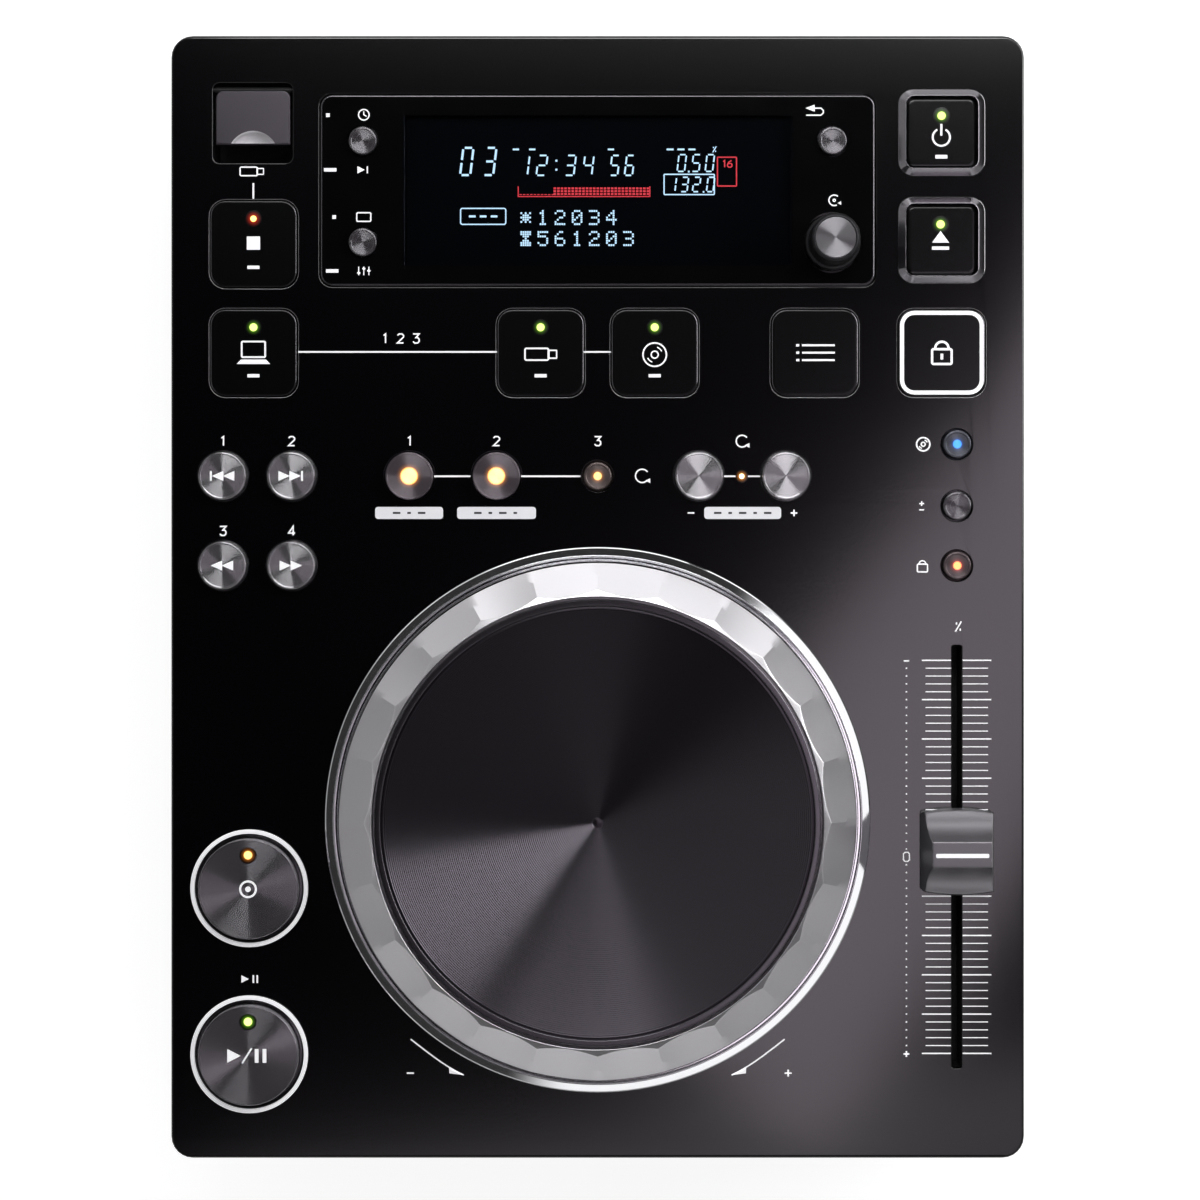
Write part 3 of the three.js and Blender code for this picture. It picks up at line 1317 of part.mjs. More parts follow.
function traverseFrame() {
  const plate = block(traverseWidth, traverseLength, traverseSheet, 0, traverseMiddleY, traverseBottomZ);
  const window = block(
    2 * sledWindowHalf, railRearY - railFrontY - railBracketWidth, traverseSheet + 2 * cutOverrun,
    0, (railFrontY + railRearY) / 2, traverseBottomZ - cutOverrun);
  const motor = bar(
    spindleMotorRadius, traverseBottomZ - spindleMotorHeight, traverseTopZ, 0, 0, buttonSegments);
  const bore = bar(
    spindleShaftRadius + seatGap, traverseBottomZ - spindleMotorHeight / 2, traverseTopZ + cutOverrun, 0,
    0, pinSegments);
  const rails = [-1, 1].map((side) => barAlongY(
    railRadius, railRearY - railFrontY, side * railSpread, (railFrontY + railRearY) / 2, railZ, pinSegments));
  const bracketPlaces = [-railSpread, railSpread, screwSpread].flatMap((x) => [[x, railFrontY],
    [x, railRearY]]);
  const brackets = bracketPlaces.map(([x, y]) => block(
    railBracketWidth, railBracketDepth, railBracketHeight + fuseDepth, x, y, traverseTopZ - fuseDepth));
  const screwHoles = barAlongY(
    screwRadius + seatGap, railRearY - railFrontY + 2 * railBracketDepth, screwSpread,
    (railFrontY + railRearY) / 2,
    railZ, pinSegments);
  const sledMotor = barAlongY(
    sledMotorRadius, sledMotorLength, screwSpread, railFrontY - sledMotorLength / 2,
    traverseBottomZ - sledMotorRadius + fuseDepth, pinSegments);
  return joined([cutBy(plate, [window]).add(motor).subtract(bore), ...rails, ...brackets, sledMotor])
    .subtract(screwHoles);
}

// Turntable with its centring hub and shaft
function turntable() {
  const topZ = -turntableDrop;
  const bottomZ = topZ - turntableThickness;
  return turned([
    [0, traverseBottomZ - spindleMotorHeight / 2 + seatGap],
    [spindleShaftRadius, traverseBottomZ - spindleMotorHeight / 2 + seatGap],
    [spindleShaftRadius, bottomZ],
    [turntableRadius, bottomZ],
    [turntableRadius, topZ],
    [turntableHubRadius, topZ],
    [turntableHubTopRadius, topZ + turntableHubHeight],
    [0, topZ + turntableHubHeight],
  ], knobFacets);
}

// Optical sled: it runs on both rails and reaches the lead screw with a half nut
function pickupSled() {
  const bottomZ = traverseTopZ + seatGap;
  const body = block(sledWidth, sledLength, sledHeight, 0, 0, bottomZ);
  const railBores = [-1, 1].map((side) => barAlongY(
    railRadius + seatGap, sledLength + cutOverrun, side * railSpread, 0, railZ, pinSegments));
  const lens = bar(lensRadius, bottomZ + sledHeight - fuseDepth, bottomZ + sledHeight + lensRise, 0, 0,
    pinSegments);
  const nutReach = screwSpread - screwRadius - seatGap - sledWidth / 2;
  const nut = block(
    nutReach + fuseDepth, sledLength / 2, sledHeight / 2, sledWidth / 2 + (nutReach - fuseDepth) / 2, 0,
    railZ - sledHeight / 4);
  return joined([cutBy(body, railBores), lens, nut]);
}

// Lead screw with its drive wheel
function leadScrew() {
  const length = railRearY - railFrontY + railBracketDepth;
  const wheelY = railFrontY + railBracketDepth + screwWheelWidth;
  return barAlongY(screwRadius, length, 0, (railFrontY + railRearY) / 2, 0, pinSegments)
    .add(barAlongY(screwWheelRadius, screwWheelWidth, 0, wheelY, 0, pinSegments));
}

// Main board with its processor, memory chips and heat sink
function mainBoard() {
  const middleY = boardRoomFrontY + mainBoardDepth / 2;
  const topZ = boardRestZ + boardThickness;
  const board = block(mainBoardWidth, mainBoardDepth, boardThickness, mainBoardX, middleY, boardRestZ);
  const chipAt = (x, y, side, height) => (
    block(side, side, height + fuseDepth, mainBoardX + x, middleY + y, topZ - fuseDepth));
  const sinkX = mainBoardX - mainBoardWidth / 4;
  const sinkBase = block(
    heatSinkFins * heatSinkFinPitch, heatSinkLength, chipHeight + fuseDepth, sinkX,
    middleY + mainBoardDepth / 4,
    topZ - fuseDepth);
  const fins = Array.from({ length: heatSinkFins }, (_, i) => block(
    heatSinkFinThickness, heatSinkLength, heatSinkFinHeight,
    sinkX + (i + 0.5 - heatSinkFins / 2) * heatSinkFinPitch,
    middleY + mainBoardDepth / 4, topZ + chipHeight - fuseDepth));
  const chips = [
    chipAt(mainBoardWidth / 5, 0, chipSide, chipHeight),
    chipAt(mainBoardWidth / 5, chipSide, chipSide / 2, chipHeight / 2),
    chipAt(mainBoardWidth / 5, -chipSide, chipSide / 2, chipHeight / 2),
    chipAt(-mainBoardWidth / 4, -mainBoardDepth / 4, smallChipSide, chipHeight),
  ];
  return joined([board, sinkBase, ...fins, ...chips]);
}

// Power supply board with its transformer and reservoir capacitors
function powerSupply() {
  const middleY = boardRoomFrontY + supplyDepth / 2;
  const topZ = boardRestZ + boardThickness;
  const board = block(supplyWidth, supplyDepth, boardThickness, supplyX, middleY, boardRestZ);
  const core = block(
    coreWidth, coreDepth, coreHeight + fuseDepth, supplyX + supplyWidth * supplyPartSpreadShare / 2,
    middleY + supplyDepth * supplyPartSpreadShare / 2, topZ - fuseDepth);
  const cans = [-1, 1].map((side) => bar(
    canRadius, topZ - fuseDepth, topZ + canHeight, supplyX - supplyWidth * supplyPartSpreadShare,
    middleY + side * supplyDepth * supplyPartSpreadShare, pinSegments));
  return joined([board, core, ...cans]);
}

place(player, 'case_shell', caseShell(), satinBlack);
place(player, 'rear_panel', rearPanel(), steel);
place(player, 'bottom_plate', bottomPlate(), steel);
place(player, 'ac_inlet', acInlet(), glossBlack);
place(player, 'jack_board', jackBoard(), boardGreen);
place(player, 'main_board', mainBoard(), boardGreen);
place(player, 'power_supply', powerSupply(), boardGreen);

const footX = panelWidth / 2 - footInset;
const footY = panelDepth / 2 - footInset;
place(player, 'foot_front_left', foot(), rubber, -footX, -footY);
place(player, 'foot_front_right', foot(), rubber, footX, -footY);
place(player, 'foot_rear_left', foot(), rubber, -footX, footY);
place(player, 'foot_rear_right', foot(), rubber, footX, footY);

place(deck, 'top_panel', topPanel(), satinBlack);
place(deck, 'display_window', displayWindow(), smokedGlass);
place(deck, 'display_module', displayModule(), glossBlack);
place(deck, 'control_board', controlBoard(), boardGreen);
place(deck, 'fader_unit', faderUnit(), steel);
place(deck, 'fader_cap', faderCap(), silver, faderX, faderY + faderCapOffset, faderCapLift);
place(deck, 'usb_bay', usbBay(), satinBlack);
place(deck, 'usb_flap', usbFlap(), satinBlack, bayX, hingeY, hingeZ);
place(deck, 'usb_socket', usbSocket(), steel);
place(deck, 'encoder_rotor', encoderRotor(), whitePlastic, windowButtonX, windowLowerY);
place(deck, 'select_knob', selectKnob(), darkMetal, windowButtonX, windowLowerY);

squareKeys.forEach(([name, x, y]) => {
  place(deck, name, squareKey(squareKeySide, squareKeyRadius, squareKeyProud), satinBlack, x, y);
});
framedKeys.forEach(([name, x, y]) => {
  place(deck, name, squareKey(powerKeySide, powerKeyRadius, powerKeyProud), satinBlack, x, y);
});
[...windowButtons, ...smallButtons].forEach(([name, x, y]) => {
  const hole = smallButtonRadius + smallButtonGap;
  place(deck, name, roundButton(smallButtonRadius, smallButtonProud, keyTravel, hole, smallSegments),
    glossBlack, x, y);
});
searchButtons.forEach(([name, x, y]) => {
  const hole = searchButtonRadius + slideGap;
  place(deck, name, roundButton(searchButtonRadius, searchButtonProud, keyTravel, hole, buttonSegments),
    silver, x, y);
});
transportButtons.forEach(([name, x, y]) => {
  const button = roundButton(
    transportButtonRadius, transportButtonProud, transportTravel, transportRingInnerRadius, ringSegments);
  place(deck, name, button, darkMetal, x, y);
});
place(deck, 'cue_ring', transportRing(), whitePlastic, leftX(cueColumnInset), frontY(cueFrontInset));
place(deck, 'play_ring', transportRing(), whitePlastic, leftX(cueColumnInset), frontY(playFrontInset));

place(jog, 'jog_base_ring', jogBaseRing(), chrome);
place(jog, 'jog_bearing', jogBearing(), satinBlack);
place(jog, 'jog_dial', jogDial(), silver);
place(jog, 'jog_disc', jogDisc(), darkMetal);

place(drive, 'drive_chassis', driveChassis(), steel);
place(drive, 'drive_cover', driveCover(), steel);
place(drive, 'feed_roller', feedRoller(), rubber, 0, rollerY, rollerZ);
place(drive, 'traverse_frame', traverseFrame(), steel);
place(drive, 'turntable', turntable(), glossBlack);
place(drive, 'pickup_sled', pickupSled(), darkMetal, 0, sledInnerTrack);
place(drive, 'lead_screw', leadScrew(), steel, screwSpread, 0, railZ);

export default player;
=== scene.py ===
"""Looks of a tabletop disc player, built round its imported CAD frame."""
import json
import math

import bmesh
import bpy
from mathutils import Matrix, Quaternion, Vector
from mathutils.geometry import tessellate_polygon

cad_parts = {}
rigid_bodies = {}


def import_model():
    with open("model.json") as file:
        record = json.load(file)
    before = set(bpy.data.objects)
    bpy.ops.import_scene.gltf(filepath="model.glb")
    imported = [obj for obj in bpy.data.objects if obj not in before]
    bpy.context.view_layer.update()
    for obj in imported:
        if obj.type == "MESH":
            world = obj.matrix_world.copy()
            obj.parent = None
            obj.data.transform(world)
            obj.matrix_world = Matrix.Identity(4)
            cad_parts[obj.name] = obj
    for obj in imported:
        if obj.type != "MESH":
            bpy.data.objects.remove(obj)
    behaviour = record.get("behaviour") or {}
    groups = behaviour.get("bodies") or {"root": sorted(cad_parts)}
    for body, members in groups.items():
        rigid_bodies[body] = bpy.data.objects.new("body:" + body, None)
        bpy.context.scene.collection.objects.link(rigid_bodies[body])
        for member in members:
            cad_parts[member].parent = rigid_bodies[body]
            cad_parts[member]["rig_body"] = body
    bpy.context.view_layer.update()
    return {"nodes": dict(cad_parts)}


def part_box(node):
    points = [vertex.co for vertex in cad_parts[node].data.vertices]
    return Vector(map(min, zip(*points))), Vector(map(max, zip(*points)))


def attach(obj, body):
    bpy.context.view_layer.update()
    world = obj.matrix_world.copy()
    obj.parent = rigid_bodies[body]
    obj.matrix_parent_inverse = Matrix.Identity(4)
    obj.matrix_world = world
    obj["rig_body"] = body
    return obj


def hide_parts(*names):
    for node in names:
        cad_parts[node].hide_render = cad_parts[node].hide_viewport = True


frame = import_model()

MM = 0.001
TAU = 2 * math.pi
WELD = 1e-7
MIN_CORNER, MIN_RADIUS = 0.02, 0.001


# Places from the frame
def span(node):
    """A CAD node's lowest and highest corner in millimetres, z from the table."""
    return [[round(c / MM, 3) for c in corner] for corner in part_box(node)]


def middle(node):
    return tuple(round((a + b) / 2, 3) for a, b in zip(*span(node)))


PLACE = {node: middle(node)[:2] for node in frame["nodes"]}
PANEL_TOP = span("display_window")[1][2]
PANEL_W, PANEL_D = (2 * c for c in span("top_panel")[1][:2])
JOG_Y = PLACE["jog_dial"][1]
WINDOW_Y = PLACE["display_window"][1]
FADER_X, FADER_Y = PLACE["fader_unit"]
BAY_X, BAY_Y = PLACE["usb_bay"]


# Shapes
class Shape:
    """Points in millimetres, z from the panel's top, with faces and their material numbers."""

    def __init__(self):
        self.points, self.faces, self.marks = [], [], []

    def loop(self, points):
        start = len(self.points)
        self.points.extend(points)
        return list(range(start, len(self.points)))

    def face(self, ids, mark=0):
        self.faces.append(ids)
        self.marks.append(mark)

    def strip(self, a, b, mark=0):
        for i in range(len(a)):
            j = (i + 1) % len(a)
            self.face([a[i], a[j], b[j], b[i]], mark)

    def loft(self, rings, mark=0, closed=False, marks=None):
        """Joins rings of equal count; closed joins the last to the first, else both ends are capped."""
        ids = [self.loop(r) for r in rings]
        for i in range(len(ids) - 1):
            self.strip(ids[i], ids[i + 1], marks[i] if marks else mark)
        if closed:
            self.strip(ids[-1], ids[0], mark)
        else:
            self.face(ids[0][::-1], mark)
            self.face(ids[-1], marks[-1] if marks else mark)

    def sheet(self, outlines, z):
        """Fills a flat outline with holes at height z."""
        ids, lines = [], []
        for outline in outlines:
            ids.extend(self.loop(raised(outline, z)))
            lines.append([Vector((x, y, 0)) for x, y in outline])
        for tri in tessellate_polygon(lines):
            self.face([ids[i] for i in tri])

    def prism(self, outline, low, high):
        self.loft([raised(outline, low), raised(outline, high)])

    def mesh(self, name, centre):
        """A mesh in metres round its centre, welded, with its faces turned outward."""
        cx, cy, cz = centre
        mesh = bpy.data.meshes.new(name)
        points = [((x - cx) * MM, (y - cy) * MM, (z - cz) * MM) for x, y, z in self.points]
        mesh.from_pydata(points, [], self.faces)
        for polygon, mark in zip(mesh.polygons, self.marks):
            polygon.material_index = mark
        work = bmesh.new()
        work.from_mesh(mesh)
        bmesh.ops.remove_doubles(work, verts=work.verts, dist=WELD)
        bmesh.ops.recalc_face_normals(work, faces=work.faces)
        work.to_mesh(mesh)
        work.free()
        return mesh


def settle(mesh, name, finishes, body, slot, replaced=(), at=(0, 0, 0), sharp=28, ease=0.0):
    """Makes a piece of a mesh: shading, easing, materials, body and the nodes that it stands for. slot is not
    used.
    """
    piece = bpy.data.objects.new(name, mesh)
    bpy.context.scene.collection.objects.link(piece)
    piece.location = Vector((at[0] * MM, at[1] * MM, (at[2] + PANEL_TOP) * MM))
    for material in finishes if isinstance(finishes, list) else [finishes]:
        mesh.materials.append(material)
    for polygon in mesh.polygons:
        polygon.use_smooth = True
    if ease:
        bevel = piece.modifiers.new("ease", "BEVEL")
        bevel.width = ease * MM
        bevel.segments = 2
        bevel.limit_method = "ANGLE"
        bevel.angle_limit = math.radians(sharp)
        bevel.use_clamp_overlap = True
    else:
        mesh.set_sharp_from_angle(angle=math.radians(sharp))
    weighted = piece.modifiers.new("even", "WEIGHTED_NORMAL")
    weighted.keep_sharp = True
    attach(piece, body)
    if replaced:
        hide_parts(*replaced)


def build(shape, name, finishes, body, slot, replaced=(), at=(0, 0, 0), sharp=28, ease=0.0):
    settle(shape.mesh(name, at), name, finishes, body, slot, replaced, at, sharp, ease)


def circle(x, y, r, n=64):
    return [(x + r * math.cos(TAU * i / n), y + r * math.sin(TAU * i / n)) for i in range(n)]


def rounded(x, y, w, d, r, n=6):
    points = []
    r = max(r, MIN_CORNER)
    for cx, cy, start in ((1, 1, 0), (-1, 1, 0.25), (-1, -1, 0.5), (1, -1, 0.75)):
        for i in range(n + 1):
            a = TAU * (start + 0.25 * i / n)
            points.append((x + cx * (w / 2 - r) + r * math.cos(a), y + cy * (d / 2 - r) + r * math.sin(a)))
    return points


def faceted(x, y, r, sides):
    """A polygon whose corners, at the radius r, are cut off at its soft share."""
    points = []
    per, soft = 6, 0.992
    half = math.pi / sides
    for i in range(sides * per):
        across = (i % per) / per * 2 - 1
        reach = min(r * math.cos(half) / math.cos(across * half), r * soft)
        a = TAU * (i / (sides * per))
        points.append((x + reach * math.cos(a), y + reach * math.sin(a)))
    return points


def raised(points, z):
    return [(x, y, z) for x, y in points]


def curve(a, b, c, steps):
    """Points of a bend from a to c that is pulled toward b."""
    a, b, c = Vector(a), Vector(b), Vector(c)
    shares = (k / steps for k in range(steps + 1))
    return [tuple(a * (1 - t) ** 2 + b * 2 * t * (1 - t) + c * t ** 2) for t in shares]


def eased(path):
    """A path of (across, z, ease) whose corners are rounded by their own ease."""
    steps, most = 4, 0.49
    out = []
    for i, (a, z, ease) in enumerate(path):
        if not ease or i in (0, len(path) - 1):
            out.append((a, z))
            continue
        here = Vector((a, z))
        before, after = Vector(path[i - 1][:2]) - here, Vector(path[i + 1][:2]) - here
        start = here + before.normalized() * min(ease, before.length * most)
        end = here + after.normalized() * min(ease, after.length * most)
        out += curve(start, here, end, steps)
    return out


def turned(shape, x, y, path, n=96, closed=False, marks=None):
    """Turns a path of (radius, z) round a standing axis."""
    shape.loft([raised(circle(x, y, max(r, MIN_RADIUS), n), z) for r, z in path], closed=closed, marks=marks)


# Finishes
def linear(v):
    v /= 255
    return v / 12.92 if v <= 0.04045 else ((v + 0.055) / 1.055) ** 2.4


def tone(r, g, b):
    """A colour as a picture writes it, from 0 to 255, made linear."""
    return (linear(r), linear(g), linear(b), 1)


def scaled(colour, share):
    return (*(min(1, c * share) for c in colour[:3]), 1)


class Nodes:
    """The node tree of a material or the world, with short forms for what they share."""

    def __init__(self, owner):
        self.owner = owner
        owner.use_nodes = True
        self.tree = owner.node_tree
        self.tree.nodes.clear()

    def add(self, kind, values=None, **fields):
        node = self.tree.nodes.new(kind)
        for key, value in fields.items():
            setattr(node, key, value)
        for key, value in (values or {}).items():
            if hasattr(value, "is_output"):
                self.tree.links.new(value, node.inputs[key])
            else:
                node.inputs[key].default_value = value
        return node

    def coords(self):
        return self.add("ShaderNodeTexCoord").outputs["Object"]

    def noise(self, vector, scale, detail=2.0):
        return self.add("ShaderNodeTexNoise", {"Vector": vector, "Scale": scale, "Detail": detail}).outputs[0]

    def math(self, operation, a, b=0.0):
        return self.add("ShaderNodeMath", {0: a, 1: b}, operation=operation).outputs[0]

    def radius(self, vector):
        parts = self.add("ShaderNodeSeparateXYZ", {0: vector})
        x, y = parts.outputs[0], parts.outputs[1]
        return self.math("SQRT", self.math("ADD", self.math("MULTIPLY", x, x), self.math("MULTIPLY", y, y)))

    def ramp(self, value, start, end, low, high, kind="LINEAR"):
        values = {"Value": value, "From Min": start, "From Max": end, "To Min": low, "To Max": high}
        return self.add("ShaderNodeMapRange", values, interpolation_type=kind).outputs[0]

    def between(self, noise, low, high):
        """Spreads the middle half of a noise over low to high."""
        return self.ramp(noise, 0.25, 0.75, low, high)

    def blend(self, factor, a, b):
        return self.add("ShaderNodeMix", {0: factor, 6: a, 7: b}, data_type="RGBA").outputs[2]

    def spinning(self, share):
        """The sockets that make a turned metal shine in wedges."""
        tangent = self.add("ShaderNodeTangent", direction_type="RADIAL", axis="Z").outputs[0]
        return {"Anisotropic": share, "Anisotropic Rotation": 0.25, "Tangent": tangent}

    def surface(self, values):
        shader = self.add("ShaderNodeBsdfPrincipled", values)
        self.add("ShaderNodeOutputMaterial", {0: shader.outputs[0]})
        return self.owner


def new_material(name):
    return Nodes(bpy.data.materials.new(name))


def finish(name, rgb, rough, metal=0.0, grain=900, spread=0.12, bump=0.0, spun=0.0, level=0.5, painted_glow=0.0):
    """A procedural finish: noise drives colour, roughness and height; in spun ones it runs in rings.
    painted_glow makes the colour glow, which is painted light.
    """
    n = new_material(name)
    colour, coords = tone(*rgb), n.coords()
    if spun:
        noise = n.noise(n.add("ShaderNodeCombineXYZ", {0: n.radius(coords)}).outputs[0], grain, 3.0)
    else:
        noise = n.noise(coords, grain, 4.0)
    values = {
        "Base Color": n.blend(noise, scaled(colour, 1 - spread), scaled(colour, 1 + spread)),
        "Roughness": n.between(noise, *rough),
        "Metallic": metal,
        "Specular IOR Level": level,
        "Emission Color": colour,
        "Emission Strength": painted_glow,
    }
    if bump:
        relief = n.add("ShaderNodeBump", {"Height": noise, "Strength": bump, "Distance": 0.2 * MM})
        values["Normal"] = relief.outputs[0]
    if spun:
        values.update(n.spinning(spun))
    return n.surface(values)


def glowing(name, rgb, core, halo, core_r, halo_r, strength, spun=0.0):
    """A lamp: a hot core and a halo that fades with the distance from the piece's middle, over the base."""
    n = new_material(name)
    base, coords = tone(*rgb), n.coords()
    r = n.radius(coords)
    in_core = n.ramp(r, core_r * MM * 0.75, core_r * MM, 1.0, 0.0)
    in_halo = n.ramp(r, core_r * MM * 0.8, halo_r * MM, 1.0, 0.0)
    fade = n.math("POWER", in_halo, 2.2)
    power = n.math("ADD", n.math("MULTIPLY", in_core, strength), n.math("MULTIPLY", fade, strength * 0.22))
    noise = n.noise(coords, 900.0)
    values = {
        "Base Color": n.blend(noise, scaled(base, 0.9), scaled(base, 1.1)),
        "Roughness": n.between(noise, 0.38, 0.44) if spun else n.between(noise, 0.2, 0.24),
        "Metallic": 1.0 if spun else 0.0,
        "Emission Color": n.blend(in_core, (*halo, 1), (*core, 1)),
        "Emission Strength": power,
    }
    if spun:
        values.update(n.spinning(spun))
    return n.surface(values)


def lit(name, colour, strength):
    """A lit segment or mark: even light with a faint unevenness."""
    n = new_material(name)
    noise = n.noise(n.coords(), 700.0)
    return n.surface({
        "Base Color": scaled(colour, 0.3), "Roughness": 0.5, "Emission Color": (*colour, 1),
        "Emission Strength": n.between(noise, strength * 0.93, strength * 1.07)})


def smoked(name, clear):
    """A tinted pane: mostly see-through, with a gloss of its own."""
    n = new_material(name)
    noise = n.noise(n.coords(), 60.0)
    colour = n.blend(noise, tone(4, 4, 5), tone(8, 8, 10))
    values = {"Base Color": colour, "Roughness": n.between(noise, 0.07, 0.1)}
    gloss = n.add("ShaderNodeBsdfPrincipled", values)
    through = n.add("ShaderNodeBsdfTransparent", {"Color": (0.92, 0.95, 1.0, 1)})
    mixed = n.add("ShaderNodeMixShader", {0: clear, 1: gloss.outputs[0], 2: through.outputs[0]})
    n.add("ShaderNodeOutputMaterial", {0: mixed.outputs[0]})
    return n.owner


PANEL_BLACK = finish("panel_black", (3, 2, 4), (0.1, 0.12), grain=1500, bump=0.01, level=1.0)
CASE_BLACK = finish("case_black", (17, 17, 19), (0.42, 0.55), grain=2200, bump=0.25, level=0.35)
KEY_BLACK = finish("key_black", (5, 5, 6), (0.14, 0.17), grain=1200, bump=0.01)
# painted highlight: the slope of the glossy frames round the power and eject keys is silver metal
FRAME_GLOSS_PAINTED_HIGHLIGHT = finish("frame_gloss_painted_highlight", (158, 155, 160), (0.16, 0.2), 1.0, grain=1500, spread=0.06)
# painted highlight: the rounded edges of the key holes in the black panel are silver with a faint glow, for
# the bright outline round each key
HOLE_EDGE_PAINTED_HIGHLIGHT = finish("hole_edge_painted_highlight", (205, 203, 207), (0.4, 0.48), 1.0, grain=1500, spread=0.06, painted_glow=0.06)
# painted highlight: the rounded rims of the black keys and the window border's outer edge are grey metal, for
# their bright outline
RIM_PAINTED_HIGHLIGHT = finish("rim_painted_highlight", (112, 110, 114), (0.2, 0.26), 1.0, grain=1500, spread=0.06)
SMALL_BLACK = finish("small_button_black", (118, 116, 120), (0.25, 0.28), 1.0, 5000, 0.08, spun=1.0)
SILVER = finish("silver_button", (204, 202, 206), (0.23, 0.26), 1.0, 5000, 0.06, spun=1.0)
DARK_SPUN = finish("dark_spun", (162, 159, 164), (0.24, 0.27), 1.0, 4000, 0.08, spun=1.0)
# white rings round cue and play, with a painted glow that brightens them
RING_WHITE_PAINTED_GLOW = finish("ring_white", (242, 242, 244), (0.35, 0.45), grain=1500, spread=0.03, painted_glow=0.4)
DIAL_SILVER = finish("dial_silver", (234, 232, 236), (0.29, 0.32), 1.0, grain=1200, spread=0.02)
DISC_DARK = finish("disc_dark", (78, 74, 80), (0.24, 0.28), 1.0, 1700, 0.12, spun=0.6)
DISC_RIM = finish("disc_rim", (100, 97, 102), (0.2, 0.24), 1.0, grain=1500, spread=0.04)
CHROME = finish("ring_chrome", (235, 235, 238), (0.07, 0.11), 1.0, grain=500, spread=0.03)
WINDOW_BLACK = finish("window_black", (6, 6, 7), (0.07, 0.1), grain=60, spread=0.2)
WINDOW_CLEAR = smoked("window_smoke", 0.94)
DISPLAY_FACE = finish("display_face", (7, 8, 10), (0.1, 0.14), grain=2500, spread=0.2, level=0.15)
BOARD_GREEN = finish("board_green", (24, 74, 44), (0.35, 0.5), grain=1800, spread=0.25)
SHEET_STEEL = finish("sheet_steel", (150, 152, 154), (0.3, 0.42), 0.9, grain=1200, spread=0.1, bump=0.1)
SHAFT_STEEL = finish("shaft_steel", (190, 190, 194), (0.15, 0.25), 1.0, grain=2000, spread=0.06)
FOOT_RUBBER = finish("foot_rubber", (30, 30, 32), (0.65, 0.8), grain=3000, bump=0.35)
ROLLER_RUBBER = finish("roller_rubber", (38, 37, 38), (0.6, 0.75), grain=3000, bump=0.3)
INLET_BLACK = finish("inlet_black", (24, 24, 25), (0.4, 0.5), grain=2000, bump=0.2)
FADER_SILVER = finish("fader_silver", (150, 147, 152), (0.34, 0.42), 0.9, grain=2600, spread=0.06, bump=0.03)
FLAP_BLACK = finish("flap_black", (80, 76, 82), (0.34, 0.42), 0.8, grain=1600, spread=0.06)
# painted highlight: the flap's finger scoop is a much lighter metal than the rest of the flap
SCOOP_PAINTED_HIGHLIGHT = finish("scoop", (222, 220, 224), (0.34, 0.42), 0.7, grain=1600, spread=0.06)
SLED_GREY = finish("sled_grey", (88, 88, 92), (0.4, 0.5), grain=1400, spread=0.15)
ROTOR_WHITE = finish("rotor_white", (225, 224, 220), (0.4, 0.5), grain=1400, spread=0.04)
# white print, with a painted glow that brightens it
PRINT_WHITE_PAINTED_GLOW = finish("print_white_painted_glow", (240, 240, 242), (0.5, 0.6), grain=3000, spread=0.03, painted_glow=0.45)
# grey printed plates, with a painted glow that brightens them
PLATE_GREY_PAINTED_GLOW = finish("plate_grey_painted_glow", (224, 224, 228), (0.45, 0.55), grain=3000, spread=0.04, painted_glow=0.3)
# dark print on the loop plates, and painted shade: the dark cross on the screw heads stands for the shade in
# their recess
DARK_PRINT_AND_PAINTED_SHADE = finish("dark_print_and_painted_shade", (24, 24, 28), (0.5, 0.6), grain=3000, spread=0.1)
JACK_RED = finish("jack_red", (150, 20, 24), (0.35, 0.45), grain=1500)
JACK_WHITE = finish("jack_white", (214, 214, 210), (0.35, 0.45), grain=1500, spread=0.04)
KNOB_GRIP = finish("knob_grip", (44, 43, 46), (0.3, 0.4), 0.6, grain=2600, bump=0.05)
SILVER_DARK = finish("dark_silver", (142, 140, 144), (0.29, 0.32), 1.0, 5000, 0.08, spun=1.0)
DISPLAY_CYAN = lit("segment_cyan", (0.62, 0.86, 1.0), 1.15)
DISPLAY_RED = lit("segment_red", (0.95, 0.04, 0.05), 0.8)
AMBER_CORE = (1.0, 0.6, 0.18)
AMBER_BUTTON = glowing("amber_button", (128, 120, 126), AMBER_CORE, (1.0, 0.34, 0.05), 2.4, 3.6, 2.3, 1.0)
AMBER_SMALL = glowing("amber_small", (110, 100, 98), AMBER_CORE, (1.0, 0.36, 0.07), 1.15, 2.2, 1.9, 0.7)
BLUE_SMALL = glowing("blue_small", (96, 98, 106), (0.05, 0.36, 1.0), (0.02, 0.2, 1.0), 1.25, 2.3, 1.2, 0.7)
RED_SMALL = glowing("red_small", (108, 98, 100), (1.0, 0.4, 0.12), (1.0, 0.08, 0.06), 1.2, 2.3, 1.7, 0.7)


